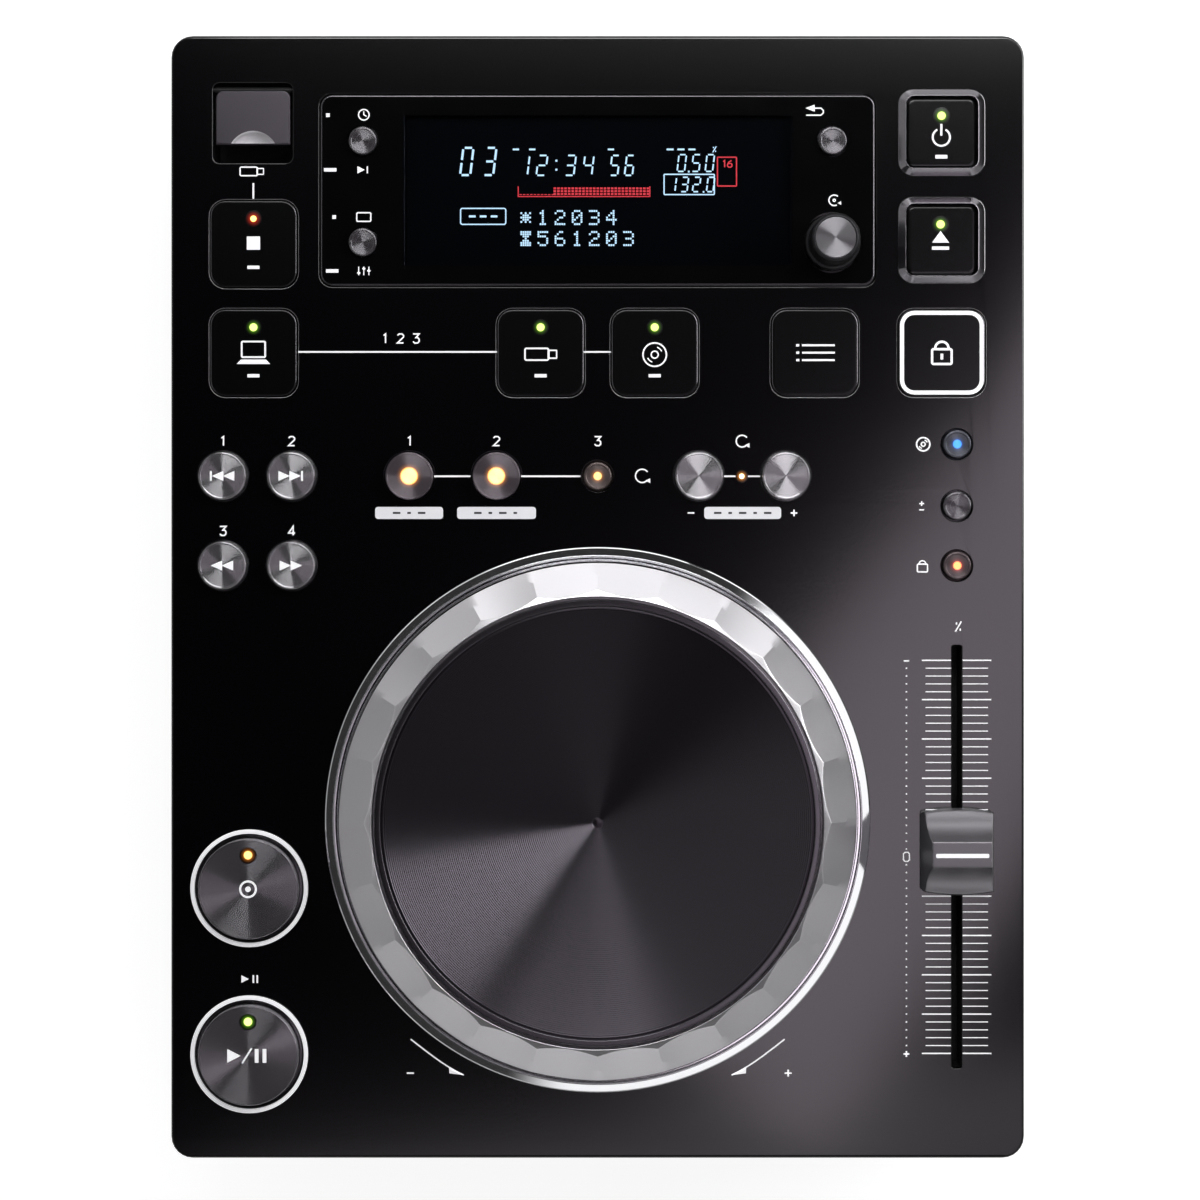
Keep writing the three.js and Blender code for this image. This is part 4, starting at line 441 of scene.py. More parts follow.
# Deck: keys and buttons by kind, then the sizes that the holes and the caps share
SQUARE_KEYS = ("usb_stop_key", "link_key", "usb_key", "disc_key", "playlist_key", "bpm_lock_key")
FRAMED_KEYS = ("power_key", "eject_key")
WINDOW_BUTTONS = ("time_mode_button", "display_button", "back_button")
SMALL_BUTTONS = ("reloop_button", "vinyl_button", "tempo_range_button", "master_tempo_button")
SEARCH_BUTTONS = ("track_back_button", "track_next_button", "search_back_button", "search_next_button")
LOOP_BUTTONS = ("loop_in_button", "loop_out_button", "beat_minus_button", "beat_plus_button")
TRANSPORT = ("cue", "play")
KEY_GAP = 0.4
KEY_SIDE, KEY_CORNER, KEY_PROUD = 22, 3.8, 0.9
FRAMED_SIDE, FRAMED_CORNER, FRAMED_PROUD = 17.2, 1.6, 0.5
SMALL_R, SMALL_HOLE, SMALL_PROUD = 3.55, 4.05, 1.6
SEARCH_R, SEARCH_HOLE, SEARCH_PROUD = 6.05, 6.45, 2.6
TRANSPORT_R, TRANSPORT_HOLE, TRANSPORT_PROUD = 12.8, 13.6, 4.2
STEM_R, FLANGE_LOW, FLANGE_TOP = 2.5, -4.9, -3.5
PANEL_BOTTOM = -3.2


def box_hole(x, y, w, d, r):
    return lambda grow: rounded(x, y, w + 2 * grow, d + 2 * grow, r + grow)


def key_hole(key, side, corner):
    wide = side + 2 * KEY_GAP
    return box_hole(*PLACE[key], wide, wide, corner + KEY_GAP)


def round_hole(x, y, r, n=48):
    return lambda grow: circle(x, y, r + grow, n)


def round_holes(keys, r):
    return [round_hole(*PLACE[key], r) for key in keys]


def plate(shape, outer, holes, top, bottom, outer_ease, hole_ease=0.22, edge=0, painted_highlight_holes=()):
    """A flat plate with holes, rounded over at its top's edge and at the holes.

    edge is the material number of the painted highlight on the edges of the painted_highlight_holes or, where
    there are none, on the outer edge.
    """
    steps, lit_ease = 4, 0.12

    def around(outline, ease, sign, edge):
        rings = []
        for k in range(steps + 1):
            a = math.pi / 2 * k / steps
            rings.append(raised(outline(sign * ease * (1 - math.sin(a))), top - ease * (1 - math.cos(a))))
        rings.append(raised(outline(0), bottom))
        ids = [shape.loop(r) for r in rings]
        for i in range(len(ids) - 1):
            shape.strip(ids[i], ids[i + 1], edge if i < steps else 0)

    eases = [lit_ease if hole in painted_highlight_holes else hole_ease for hole in holes]
    around(outer, outer_ease, -1, 0 if painted_highlight_holes else edge)
    for hole, ease in zip(holes, eases):
        around(hole, ease, 1, edge if hole in painted_highlight_holes else 0)
    shape.sheet([outer(-outer_ease)] + [hole(ease) for hole, ease in zip(holes, eases)], top)
    shape.sheet([outer(0)] + [hole(0) for hole in holes], bottom)


def square_rings(key, side, corner, path, shrink=1):
    """Rounded squares round a key's middle, each smaller by the inset in its step of (inset, z)."""
    at = PLACE[key]
    return [raised(rounded(*at, side - 2 * i, side - 2 * i, corner - i * shrink), z) for i, z in path]


def raised_frame(shape, key):
    """The bevelled frame round the power or the eject key, polished on its slope, whose silver colour is a
    painted highlight.
    """
    side, corner, shrink = 22.4, 4, 0.91
    path = eased([(0, -0.1, 0), (0, 0.12, 0.05), (0.2, 0.2, 0.05), (1.75, 1.8, 0.2), (1.95, 1.85, 0.12),
                  (2.2, 0, 0.1), (2.2, -0.1, 0)])
    # the slope takes the painted highlight, the rest of the frame is panel black
    marks = [2 if min(a[0], b[0]) > 0.15 and a[0] < 1.9 else 0 for a, b in zip(path, path[1:])]
    shape.loft(square_rings(key, side, corner, path, shrink), closed=True, marks=marks + [0])


def deck():
    shape = Shape()
    holes = [key_hole(key, KEY_SIDE, KEY_CORNER) for key in SQUARE_KEYS]
    holes += [key_hole(key, FRAMED_SIDE, FRAMED_CORNER) for key in FRAMED_KEYS]
    holes += round_holes(SMALL_BUTTONS, SMALL_HOLE)
    holes += round_holes(SEARCH_BUTTONS + LOOP_BUTTONS, SEARCH_HOLE)
    holes += round_holes([kind + "_button" for kind in TRANSPORT], TRANSPORT_HOLE)
    holes.append(round_hole(0, JOG_Y, 60, 128))
    holes.append(box_hole(BAY_X, BAY_Y, 20.5, 20.6, 1.8))
    holes.append(box_hole(FADER_X, FADER_Y, 2.6, 108.4, 0.6))
    holes.append(box_hole(0, WINDOW_Y, 142.7, 49.6, 3.4))
    # the edges of the square keys' holes carry the painted highlight
    plate(shape, box_hole(0, 0, PANEL_W, PANEL_D, 5.5), holes, 0, PANEL_BOTTOM, 0.6, edge=1,
          painted_highlight_holes=holes[:len(SQUARE_KEYS)])
    floor_holes = round_holes(WINDOW_BUTTONS, SMALL_HOLE)
    floor_holes += [round_hole(*PLACE["select_knob"], 2.1), box_hole(0, WINDOW_Y, 99.2, 39.2, 0.4)]
    plate(shape, box_hole(0, WINDOW_Y, 142.9, 49.8, 3.4), floor_holes, -2.3, PANEL_BOTTOM, 0.05, 0.05)
    for key in FRAMED_KEYS:
        raised_frame(shape, key)
    finishes = [PANEL_BLACK, HOLE_EDGE_PAINTED_HIGHLIGHT, FRAME_GLOSS_PAINTED_HIGHLIGHT]
    build(shape, "deck_plate", finishes, "player_body", "case_black", ["top_panel"])


def foot_z(node):
    return span(node)[0][2] - PANEL_TOP


def square_key(key, side, corner, proud, soft=0.34):
    shape = Shape()
    foot, flange, stem = foot_z(key), 1.1, side / 2 - STEM_R
    path = eased([(stem, foot, 0), (stem, FLANGE_LOW, 0), (-flange, FLANGE_LOW, 0), (-flange, FLANGE_TOP, 0),
                  (0, FLANGE_TOP, 0), (0, proud, soft), (0.9, proud, 0)])
    # the rounded rim round the top takes the painted highlight
    marks = [1 if a[1] > proud - 0.3 and b[0] < 0.3 else 0 for a, b in zip(path, path[1:])] + [0]
    shape.loft(square_rings(key, side, corner, path), marks=marks)
    build(shape, key + "_cap", [KEY_BLACK, RIM_PAINTED_HIGHLIGHT], key, "key_black", [key], (*PLACE[key], 0))


def button(key, flange, top, n, material, slot):
    """A round button: its stem and the flange under the panel, then the path of its cap."""
    shape = Shape()
    foot = foot_z(key)
    stem = [(0, foot, 0), (STEM_R, foot, 0), (STEM_R, FLANGE_LOW, 0), (flange, FLANGE_LOW, 0),
            (flange, FLANGE_TOP, 0)]
    turned(shape, *PLACE[key], eased(stem + top), n)
    build(shape, key + "_cap", material, key, slot, [key], (*PLACE[key], 0))


def round_key(key, r, proud, hole, material, slot, lip=0.25, dip=0.12):
    face = proud - dip
    top = [(r, FLANGE_TOP, 0), (r, proud, 0.3), (r - lip - 0.35, proud, 0.06), (r - lip - 0.5, face, 0.05),
           (0.3, face, 0), (0, face, 0)]
    button(key, hole + 1.3, top, 80, material, slot)


def transport(kind):
    ring = Shape()
    at = (*PLACE[kind + "_ring"], 0)
    path = eased([(14.0, 0.3, 0), (15.05, 0.3, 0.05), (15.05, 1.3, 0.3), (14.0, 1.3, 0.15), (14.0, 0.3, 0)])
    turned(ring, *at[:2], path[:-1], 128, closed=True)
    # the band is white with a painted glow
    build(ring, kind + "_ring_band", RING_WHITE_PAINTED_GLOW, "player_body", "ring_white", [kind + "_ring"], at)
    top = [(TRANSPORT_R, FLANGE_TOP, 0), (TRANSPORT_R, TRANSPORT_PROUD, 0.5), (12.1, 4.16, 0.05),
           (0.4, 4.06, 0), (0, 4.06, 0)]
    button(kind + "_button", 15.1, top, 128, DARK_SPUN, "dark_spun")


def knob():
    shape = Shape()
    x, y = PLACE["select_knob"]
    turned(shape, x, y, [(0, -9.9), (1.6, -9.9), (1.6, -0.9), (0, -0.9)], 24)
    path = eased([(7.0, -1.1, 0), (7.15, -1.1, 0), (7.15, 2.6, 0.3), (6.4, 3.2, 0.3), (6.35, 14.2, 0.5),
                  (5.75, 15.0, 0.4), (5.3, 15.0, 0.1), (5.2, 14.6, 0.1), (5.0, 14.6, 0)])
    grip_r = 5.25
    shape.loft([raised(faceted(x, y, r, 16) if r > grip_r else circle(x, y, r, 96), z) for r, z in path])
    build(shape, "select_knob_grip", KNOB_GRIP, "select_knob", "dark_spun", ["select_knob"], (x, y, 0))
    insert = Shape()
    path = eased([(0, 14.4, 0), (5.15, 14.4, 0), (5.15, 14.85, 0.12), (0.3, 14.8, 0), (0, 14.8, 0)])
    turned(insert, x, y, path)
    build(insert, "select_knob_insert", SILVER_DARK, "select_knob", "dark_spun", (), (x, y, 14.6))


deck()
for key in SQUARE_KEYS:
    square_key(key, KEY_SIDE, KEY_CORNER, KEY_PROUD)
for key in FRAMED_KEYS:
    square_key(key, FRAMED_SIDE, FRAMED_CORNER, FRAMED_PROUD, soft=0.4)
SMALL_FINISH = {"reloop_button": AMBER_SMALL, "vinyl_button": BLUE_SMALL, "master_tempo_button": RED_SMALL}
for key in WINDOW_BUTTONS + SMALL_BUTTONS:
    round_key(key, SMALL_R, SMALL_PROUD, SMALL_HOLE, SMALL_FINISH.get(key, SMALL_BLACK), "small_button_black")
for key in SEARCH_BUTTONS + LOOP_BUTTONS:
    metal = AMBER_BUTTON if key.startswith("loop") else SILVER
    round_key(key, SEARCH_R, SEARCH_PROUD, SEARCH_HOLE, metal, "silver_button", lip=0.1, dip=0.05)
for kind in TRANSPORT:
    transport(kind)
knob()


# Jog wheel
def jog_ring():
    ring = Shape()
    path = eased([(66.0, 0.3, 0), (69.75, 0.3, 0.05), (69.75, 1.7, 0.08), (69.42, 2.0, 0.05),
                  (67.6, 3.18, 0.08), (67.4, 3.18, 0.05), (67.2, 2.95, 0.05), (67.15, 1.4, 0.05),
                  (66.68, 1.4, 0.05), (66.62, 2.5, 0.05), (66.42, 2.7, 0.05), (66.15, 2.7, 0.05),
                  (66.0, 2.5, 0.05), (66.0, 0.3, 0)])
    turned(ring, 0, JOG_Y, path[:-1], 240, closed=True)
    build(ring, "jog_base_band", CHROME, "player_body", "ring_chrome", ["jog_base_ring"], (0, JOG_Y, 0),
          sharp=40)


def jog_dial():
    """The dial: hollow facets round its slope, whose upper edge is scalloped by the hollows."""
    count, per = 24, 10
    facet_r, hollow, foot_r = 58.9, 0.95, 65.6
    lip_r, lip_z, lip_fall, run_to_rise = 57, 17, 0.3, 1.13
    n = count * per
    half = math.pi / count

    def slope(i, share):
        """A point of step i: share 0 is the facet's upper edge, share 1 its foot."""
        across = (i % per) / per * 2 - 1
        edge = facet_r * math.cos(half) / math.cos(across * half) - hollow * (1 - across * across)
        r = edge + (foot_r - edge) * share
        z = lip_z - (edge - lip_r) * lip_fall - (foot_r - edge) / run_to_rise * share
        return r * math.cos(TAU * i / n), JOG_Y + r * math.sin(TAU * i / n), z

    def round_rings(path):
        return [raised(circle(0, JOG_Y, r, n), z) for r, z in path]

    under = [(8.3, 5.2), (14, 5.2), (14, 7.6), (61.5, 7.6), (61.5, 2.8), (65.5, 2.8), (foot_r, 2.9)]
    rings = round_rings(under)
    rings += [[slope(i, share) for i in range(n)] for share in (1.0, 0.85, 0.7, 0.55, 0.4, 0.25, 0.1, 0.0)]
    rings += round_rings([(57.15, 17.0), (lip_r, 16.85), (lip_r, 10), (8.3, 10)])
    dial = Shape()
    dial.loft(rings, closed=True)
    build(dial, "jog_dial_rim", DIAL_SILVER, "jog_dial", "dial_silver", ["jog_dial"], (0, JOG_Y, 0), sharp=17,
          ease=0.07)


def jog_disc():
    """The disc: a smooth rim round turned grooves, whose ridges lean inward."""
    disc = Shape()
    path = eased([(0, 13.6, 0), (6, 13.6, 0), (6, 14.6, 0), (52.6, 14.6, 0), (52.6, 10.8, 0), (56.4, 10.8, 0),
                  (56.4, 16.7, 0.45), (54.85, 16.7, 0.2), (54.6, 16.15, 0.1)])
    rim = len(path) - 1
    pitch, depth, lean, face = 0.5, 0.202, 0.7, 16.2
    r, inner = 54.1, 1.4
    while r > inner:
        path += [(r, face), (r - pitch * lean, face - depth)]
        r -= pitch
    path.append((0, face))
    turned(disc, 0, JOG_Y, path, 144, marks=[1 if i < rim else 0 for i in range(len(path))])
    build(disc, "jog_disc_plate", [DISC_DARK, DISC_RIM], "jog_disc", "disc_dark", ["jog_disc"],
          (0, JOG_Y, 13.7), sharp=20)


jog_ring()
jog_dial()
jog_disc()


# Window
def window():
    pane = box_hole(0, WINDOW_Y, 100.0, 38.4, 0.5)
    holes = round_holes(WINDOW_BUTTONS, SMALL_HOLE) + [round_hole(*PLACE["select_knob"], 7.8, 96), pane]
    border, bottom = Shape(), -2.0
    # the outer edge takes the painted highlight
    plate(border, box_hole(0, WINDOW_Y, 142.1, 49.0, 3.1), holes, 0, bottom, 0.5, 0.0001, edge=1)
    build(border, "window_border", [WINDOW_BLACK, RIM_PAINTED_HIGHLIGHT], "player_body", "window_smoke",
          ["display_window"], (0, WINDOW_Y, 0))
    glass = Shape()
    glass.prism(pane(0), bottom, 0)
    build(glass, "window_pane", WINDOW_CLEAR, "player_body", "window_smoke", (), (0, WINDOW_Y, bottom / 2))


window()


# Printed and lit marks
class Marks:
    """Marks on a flat face, from an origin: strokes, plates, dots and digits, as very thin solids."""

    def __init__(self, z, thick=0.04, origin=(0, 0)):
        self.shape, self.low, self.high, self.origin = Shape(), z - 0.02, z + thick, origin

    def area(self, outline):
        ox, oy = self.origin
        self.shape.prism([(ox + x, oy + y) for x, y in outline], self.low, self.high)

    def line(self, points, width, closed=False):
        """A mitred stroke along points, or a dot where there is only one."""
        if len(points) == 1:
            self.area(circle(*points[0], width / 2, 16))
            return
        vs = [Vector(p) + Vector(self.origin) for p in points]
        count = len(vs)
        sharpest = 0.35
        left, right = [], []
        for i, v in enumerate(vs):
            before = vs[i - 1] if i or closed else v * 2 - vs[1]
            after = vs[(i + 1) % count] if i < count - 1 or closed else v * 2 - before
            d1, d2 = (v - before).normalized(), (after - v).normalized()
            bisector = (d1 + d2).normalized() if (d1 + d2).length > 1e-6 else d1
            normal = Vector((-bisector.y, bisector.x))
            spread = width / 2 / max(sharpest, normal.dot(Vector((-d1.y, d1.x))))
            left.append(v + normal * spread)
            right.append(v - normal * spread)
        heights = (self.low, self.high)
        ll, lh, rl, rh = (self.shape.loop(raised(side, z)) for side in (left, right) for z in heights)
        for i in range(count if closed else count - 1):
            j = (i + 1) % count
            for a, b in ((lh, rh), (rh, rl), (rl, ll), (ll, lh)):
                self.shape.face([a[i], a[j], b[j], b[i]])
        if not closed:
            self.shape.face([ll[0], lh[0], rh[0], rl[0]])
            self.shape.face([ll[-1], rl[-1], rh[-1], lh[-1]])

    def rect(self, x, y, w, d):
        self.area([(x + a * w / 2, y + b * d / 2) for a, b in ((-1, -1), (1, -1), (1, 1), (-1, 1))])

    def rects(self, rows):
        for row in rows:
            self.rect(*row)

    def frame(self, x, y, w, d, r, width):
        self.line(rounded(x, y, w, d, r), width, True)

    def ring(self, x, y, r, width, start=0.0, end=1.0):
        share, n = end - start, 40
        turns = [TAU * (start + share * i / n) for i in range(n + (share < 1))]
        self.line([(x + r * math.cos(t), y + r * math.sin(t)) for t in turns], width, share >= 1)

    def arrow(self, x, y, length, height, way=1):
        back = x - way * length / 2
        self.area([(back, y - height / 2), (x + way * length / 2, y), (back, y + height / 2)])

    def done(self, name, finish, at=(0, 0, 0), body="player_body", slot=None):
        build(self.shape, name, finish, body, slot, (), at, sharp=30)


STROKES = {
    "0": [[(0, 1), (0, 5), (1, 6), (3, 6), (4, 5), (4, 1), (3, 0), (1, 0), (0, 1)]],
    "1": [[(1, 5), (2.4, 6), (2.4, 0)]],
    "2": [[(0, 5), (1, 6), (3, 6), (4, 5), (4, 4), (0, 0), (4, 0)]],
    "3": [[(0, 6), (4, 6), (2, 3.6), (3, 3.6), (4, 2.6), (4, 1), (3, 0), (1, 0), (0, 1)]],
    "4": [[(3, 0), (3, 6), (0, 1.6), (4.3, 1.6)]],
    "6": [[(3.6, 6), (1, 4.4), (0, 2.4), (0, 1), (1, 0), (3, 0), (4, 1), (4, 2.4), (3, 3.4), (0.6, 3.2)]],
    "+": [[(0.4, 3), (3.6, 3)], [(2, 1.4), (2, 4.6)]],
    "-": [[(0.4, 3), (3.6, 3)]],
    "%": [[(0.2, 0), (3.8, 6)], [(0.9, 5.6), (0.9, 4.2)], [(3.1, 1.8), (3.1, 0.4)]],
}


def writing(marks, text, x, y, height, width, pitch=1.25):
    """Plain digits and signs, centred on x, y; STROKES are 4 units wide and 6 high."""
    unit = height / 6
    step = unit * 4 * pitch
    start, low = x - step * (len(text) - 1) / 2 - unit * 2, y - height / 2
    for i, letter in enumerate(text):
        for stroke in STROKES[letter]:
            marks.line([(start + i * step + px * unit, low + py * unit) for px, py in stroke], width)


def disc_icon(marks, x, y, r):
    marks.ring(x, y, r, 0.4)
    marks.ring(x, y, r * 0.3, 0.35)
    for start in (0.07, 0.57):
        marks.ring(x, y, r * 0.66, 0.3, start, start + 0.13)


def loop_icon(marks, x, y, r):
    marks.ring(x, y, r, 0.36, 0.1, 0.88)
    marks.arrow(x + r * 0.86, y - r * 0.72, 1.2, 1.2, -1)


def fader_scale(white):
    pitch, steps = 2.014, 25
    for i in range(-steps, steps + 1):
        y, fifth = FADER_Y + i * pitch, i % 5 == 0
        for end in (-8.95, 8.85) if fifth else (-8.0, 8.0):
            white.line([(FADER_X + math.copysign(1.5, end), y), (FADER_X + end, y)], 0.34 if fifth else 0.24)
    dots = [i for i in range(1 - steps, steps) if i]
    white.rects((79.1, FADER_Y + i * pitch, 0.36, 0.36) for i in dots)


def bent_arrow(white, side):
    """The arrow beside the dial that bends toward the lower edge."""
    bend = []
    for t in (i / 10 for i in range(11)):
        bow = math.sin(math.pi * t)
        bend.append((side * (47.9 - 13.6 * t - 1.2 * bow), -113.3 - 9.2 * t - 1.4 * bow))
    white.line(bend, 0.36)
    tip = Vector(bend[-1])
    back = (Vector(bend[-3]) - tip).normalized()
    out = Vector((back.y, -back.x)) * side
    white.area([tip, tip + back * 4.2, tip + back * 3.5 + out * 1.25])


def deck_marks():
    white = Marks(0.0)
    for x0, x1, y, width in (
            (-76.7, -25.8, 62.75, 0.42), (-3.7, 3.4, 62.75, 0.42), (-41.9, -32.6, 30.9, 0.45),
            (-19.6, -4.4, 30.9, 0.45), (32.4, 35.3, 30.9, 0.4), (38.5, 41.6, 30.9, 0.4)):
        white.line([(x0, y), (x1, y)], width)
    white.line([(-88.2, 106.0), (-88.2, 102.0)], 0.45)
    white.frame(-89.4, 109.0, 4.4, 2.2, 0.35, 0.35)
    white.frame(-86.4, 109.0, 1.6, 1.5, 0.1, 0.3)
    writing(white, "123", -50.5, 66.2, 2.3, 0.36, pitch=2.6)
    for text, x, y in (("1", -96.0, 39.9), ("2", -78.4, 39.9), ("3", -96.0, 16.9), ("4", -78.4, 16.9),
                       ("1", -48.2, 39.9), ("2", -25.9, 39.9), ("3", 0, 39.9)):
        writing(white, text, x, y, 2.3, 0.36)
    for text, x, y, height, width in (
            ("-", 23.9, 21.5, 3.2, 0.4), ("+", 50.3, 21.5, 3.2, 0.4), ("+", 83.0, 23.9, 2.3, 0.34),
            ("-", 83.0, 22.3, 2.3, 0.34), ("%", 92.4, -7.6, 2.6, 0.36), ("-", 79.1, -16.4, 2.6, 0.36),
            ("0", 79.1, FADER_Y, 2.3, 0.3), ("+", 79.1, -117.1, 2.8, 0.4), ("-", -48.0, -122.0, 3.4, 0.42),
            ("+", 48.8, -122.0, 3.4, 0.42)):
        writing(white, text, x, y, height, width)
    loop_icon(white, 11.4, 31.0, 1.7)
    loop_icon(white, 37.0, 39.9, 1.5)
    disc_icon(white, 83.4, 39.1, 1.7)
    white.frame(83.2, 7.4, 2.6, 2.0, 0.3, 0.36)
    white.ring(83.2, 8.4, 0.85, 0.34, 0.0, 0.5)
    fader_scale(white)
    for side in (-1, 1):
        bent_arrow(white, side)
    white.arrow(-90.3, -97.9, 1.9, 1.9)
    for x in (-88.2, -87.2):
        white.line([(x, -96.9), (x, -98.9)], 0.42)
    white.done("deck_printing", PRINT_WHITE_PAINTED_GLOW)


def loop_plates():
    plates, darks = Marks(0.0, 0.03), Marks(0.03, 0.03)
    y = 21.5
    for x0, x1, dots in ((-57.0, -39.6, 3), (-36.0, -15.8, 4), (27.3, 47.0, 5)):
        middle_x = (x0 + x1) / 2
        plates.area(rounded(middle_x, y, x1 - x0, 3.1, 0.75, 4))
        for i in range(dots):
            darks.rect(middle_x + (i - (dots - 1) / 2) * 3.2, y, 1.9 if i % 2 == 0 else 0.9, 0.5)
    plates.done("loop_plates", PLATE_GREY_PAINTED_GLOW)
    darks.done("loop_plate_marks", DARK_PRINT_AND_PAINTED_SHADE)


def window_marks():
    glass = Marks(0.0, 0.03)
    glass.rects([(-69.1, 123.4, 0.95, 0.95), (-68.5, 109.4, 3.2, 0.9), (-67.5, 97.3, 0.95, 0.95),
                 (-68.0, 83.5, 3.2, 0.9)])
    glass.ring(-59.9, 123.5, 1.35, 0.34)
    glass.line([(-59.9, 124.4), (-59.9, 123.5), (-59.2, 123.1)], 0.3)
    glass.arrow(-60.6, 109.4, 1.9, 1.9)
    glass.line([(-59.0, 110.3), (-59.0, 108.5)], 0.36)
    glass.frame(-59.9, 97.3, 3.6, 2.2, 0.3, 0.34)
    for x, y in ((-61.2, 83.0), (-59.9, 84.1), (-58.6, 83.55)):
        glass.line([(x, 82.4), (x, 84.6)], 0.26)
        glass.rect(x, y, 0.8, 0.42)
    bent_back = [(53.4, 123.4), (57.2, 123.4), (57.8, 124.0), (57.8, 124.6), (57.2, 125.2), (55.4, 125.2)]
    glass.line(bent_back, 0.34)
    glass.area([(53.2, 125.2), (55.6, 126.1), (55.6, 124.3)])
    glass.ring(60.6, 101.6, 1.35, 0.34, 0.13, 0.83)
    glass.arrow(61.9, 100.9, 0.95, 0.95, -1)
    glass.ring(60.6, 101.6, 0.3, 0.3)
    glass.done("window_printing", PRINT_WHITE_PAINTED_GLOW, (0, WINDOW_Y, 0))


deck_marks()
loop_plates()
window_marks()


# Lamps: offset from the key's middle, height, colours of core and halo, their radii and the strength
GREEN = ((0.85, 1.0, 0.25), (0.22, 0.62, 0.02))
KEY_LAMPS = {
    "link_key": (0, 6.5, KEY_PROUD, GREEN, 1.15, 2.1, 1.6),
    "usb_key": (0, 6.5, KEY_PROUD, GREEN, 1.15, 2.1, 1.6),
    "disc_key": (0, 6.5, KEY_PROUD, GREEN, 1.15, 2.1, 1.6),
    "usb_stop_key": (0, 6.45, KEY_PROUD, ((1.0, 0.75, 0.2), (1.0, 0.05, 0.02)), 0.9, 2.2, 2.2),
    "power_key": (-0.05, 4.3, FRAMED_PROUD, GREEN, 1.2, 2.2, 1.6),
    "eject_key": (-0.3, 4.05, FRAMED_PROUD, GREEN, 1.2, 2.2, 1.6),
    "cue_button": (0, 8.7, 4.12, ((1.0, 0.7, 0.2), (1.0, 0.3, 0.03)), 1.2, 2.2, 1.8),
    "play_button": (0, 8.7, 4.12, GREEN, 1.2, 2.2, 1.8),
}
BEAT_LAMP = (36.9, 30.9, 0.0, ((1.0, 0.85, 0.5), (1.0, 0.35, 0.05)), 0.75, 1.7, 3.0)


def lamp(name, body, x, y, z, colours, core_r, halo_r, strength):
    shape = Shape()
    path = eased([(0, z - 0.02, 0), (halo_r, z - 0.02, 0), (halo_r, z + 0.02, 0), (core_r, z + 0.05, 0.1),
                  (0, z + 0.08, 0)])
    turned(shape, x, y, path, 40)
    material = glowing(name + "_light", (3, 3, 4), *colours, core_r, halo_r, strength)
    build(shape, name, material, body, None, (), (x, y, z))


def key_marks():
    """The signs on the caps, each measured from its key's middle."""
    heights = {**dict.fromkeys(SQUARE_KEYS, KEY_PROUD), **dict.fromkeys(FRAMED_KEYS, FRAMED_PROUD),
               **dict.fromkeys(SEARCH_BUTTONS, 2.57), "cue_button": 4.08, "play_button": 4.08}
    drawn = {key: Marks(z, origin=PLACE[key]) for key, z in heights.items()}
    for key in ("link_key", "usb_key", "disc_key"):
        drawn[key].rect(0, -5.9, 3.1, 0.85)
    drawn["usb_stop_key"].rects([(0, -6.0, 3.1, 0.85), (0, 0.2, 3.4, 3.4)])
    drawn["link_key"].frame(0, 0.85, 6.0, 4.0, 0.3, 0.45)
    drawn["link_key"].area([(-4.3, -2.9), (4.3, -2.9), (3.2, -1.75), (-3.2, -1.75)])
    drawn["usb_key"].frame(-1.0, -0.4, 6.0, 3.0, 0.4, 0.42)
    drawn["usb_key"].frame(3.1, -0.4, 2.0, 2.0, 0.1, 0.36)
    disc_icon(drawn["disc_key"], 0, -0.5, 3.0)
    for y in (-1.9, 0, 1.9):
        drawn["playlist_key"].rects([(-4.4, y, 0.8, 0.6), (0.9, y, 8.4, 0.5)])
    lock = drawn["bpm_lock_key"]
    lock.frame(0, 0, 20.4, 20.4, 3.2, 1.05)
    lock.frame(0, -1.0, 5.0, 3.8, 0.4, 0.6)
    lock.ring(0, 1.1, 1.7, 0.6, 0.0, 0.5)
    lock.rect(0, -1.0, 0.7, 1.5)
    power = drawn["power_key"]
    power.ring(-0.1, -1.2, 2.2, 0.5, 0.33, 1.17)
    power.line([(-0.1, 2.2), (-0.1, -0.8)], 0.55)
    power.rect(-0.1, -6.2, 3.1, 0.95)
    drawn["eject_key"].area([(-2.5, -0.65), (1.9, -0.65), (-0.3, 2.35)])
    drawn["eject_key"].rect(-0.3, -2.05, 4.4, 0.85)
    for key in SEARCH_BUTTONS:
        way, track = -1 if "back" in key else 1, key.startswith("track")
        for shift in (-1.4, 1.4):
            drawn[key].arrow(way * (shift - 0.3 * track), 0, 2.9, 2.5, way)
        if track:
            drawn[key].line([(way * 2.85, -1.25), (way * 2.85, 1.25)], 0.5)
    drawn["cue_button"].ring(0, 0, 2.0, 0.5)
    drawn["cue_button"].ring(0, 0, 0.35, 0.7)
    play = drawn["play_button"]
    play.arrow(-3.6, 0, 3.4, 3.5)
    play.line([(-1.5, -1.9), (0.9, 1.9)], 0.4)
    for x in (2.2, 4.2):
        play.line([(x, -1.75), (x, 1.75)], 0.95)
    for key, marks in drawn.items():
        marks.done(key + "_marks", PRINT_WHITE_PAINTED_GLOW, (*PLACE[key], 0), key)


for key, (dx, dy, *rest) in KEY_LAMPS.items():
    lamp(key.replace("_button", "") + "_lamp", key, PLACE[key][0] + dx, PLACE[key][1] + dy, *rest)
lamp("beat_lamp", "player_body", *BEAT_LAMP)
key_marks()


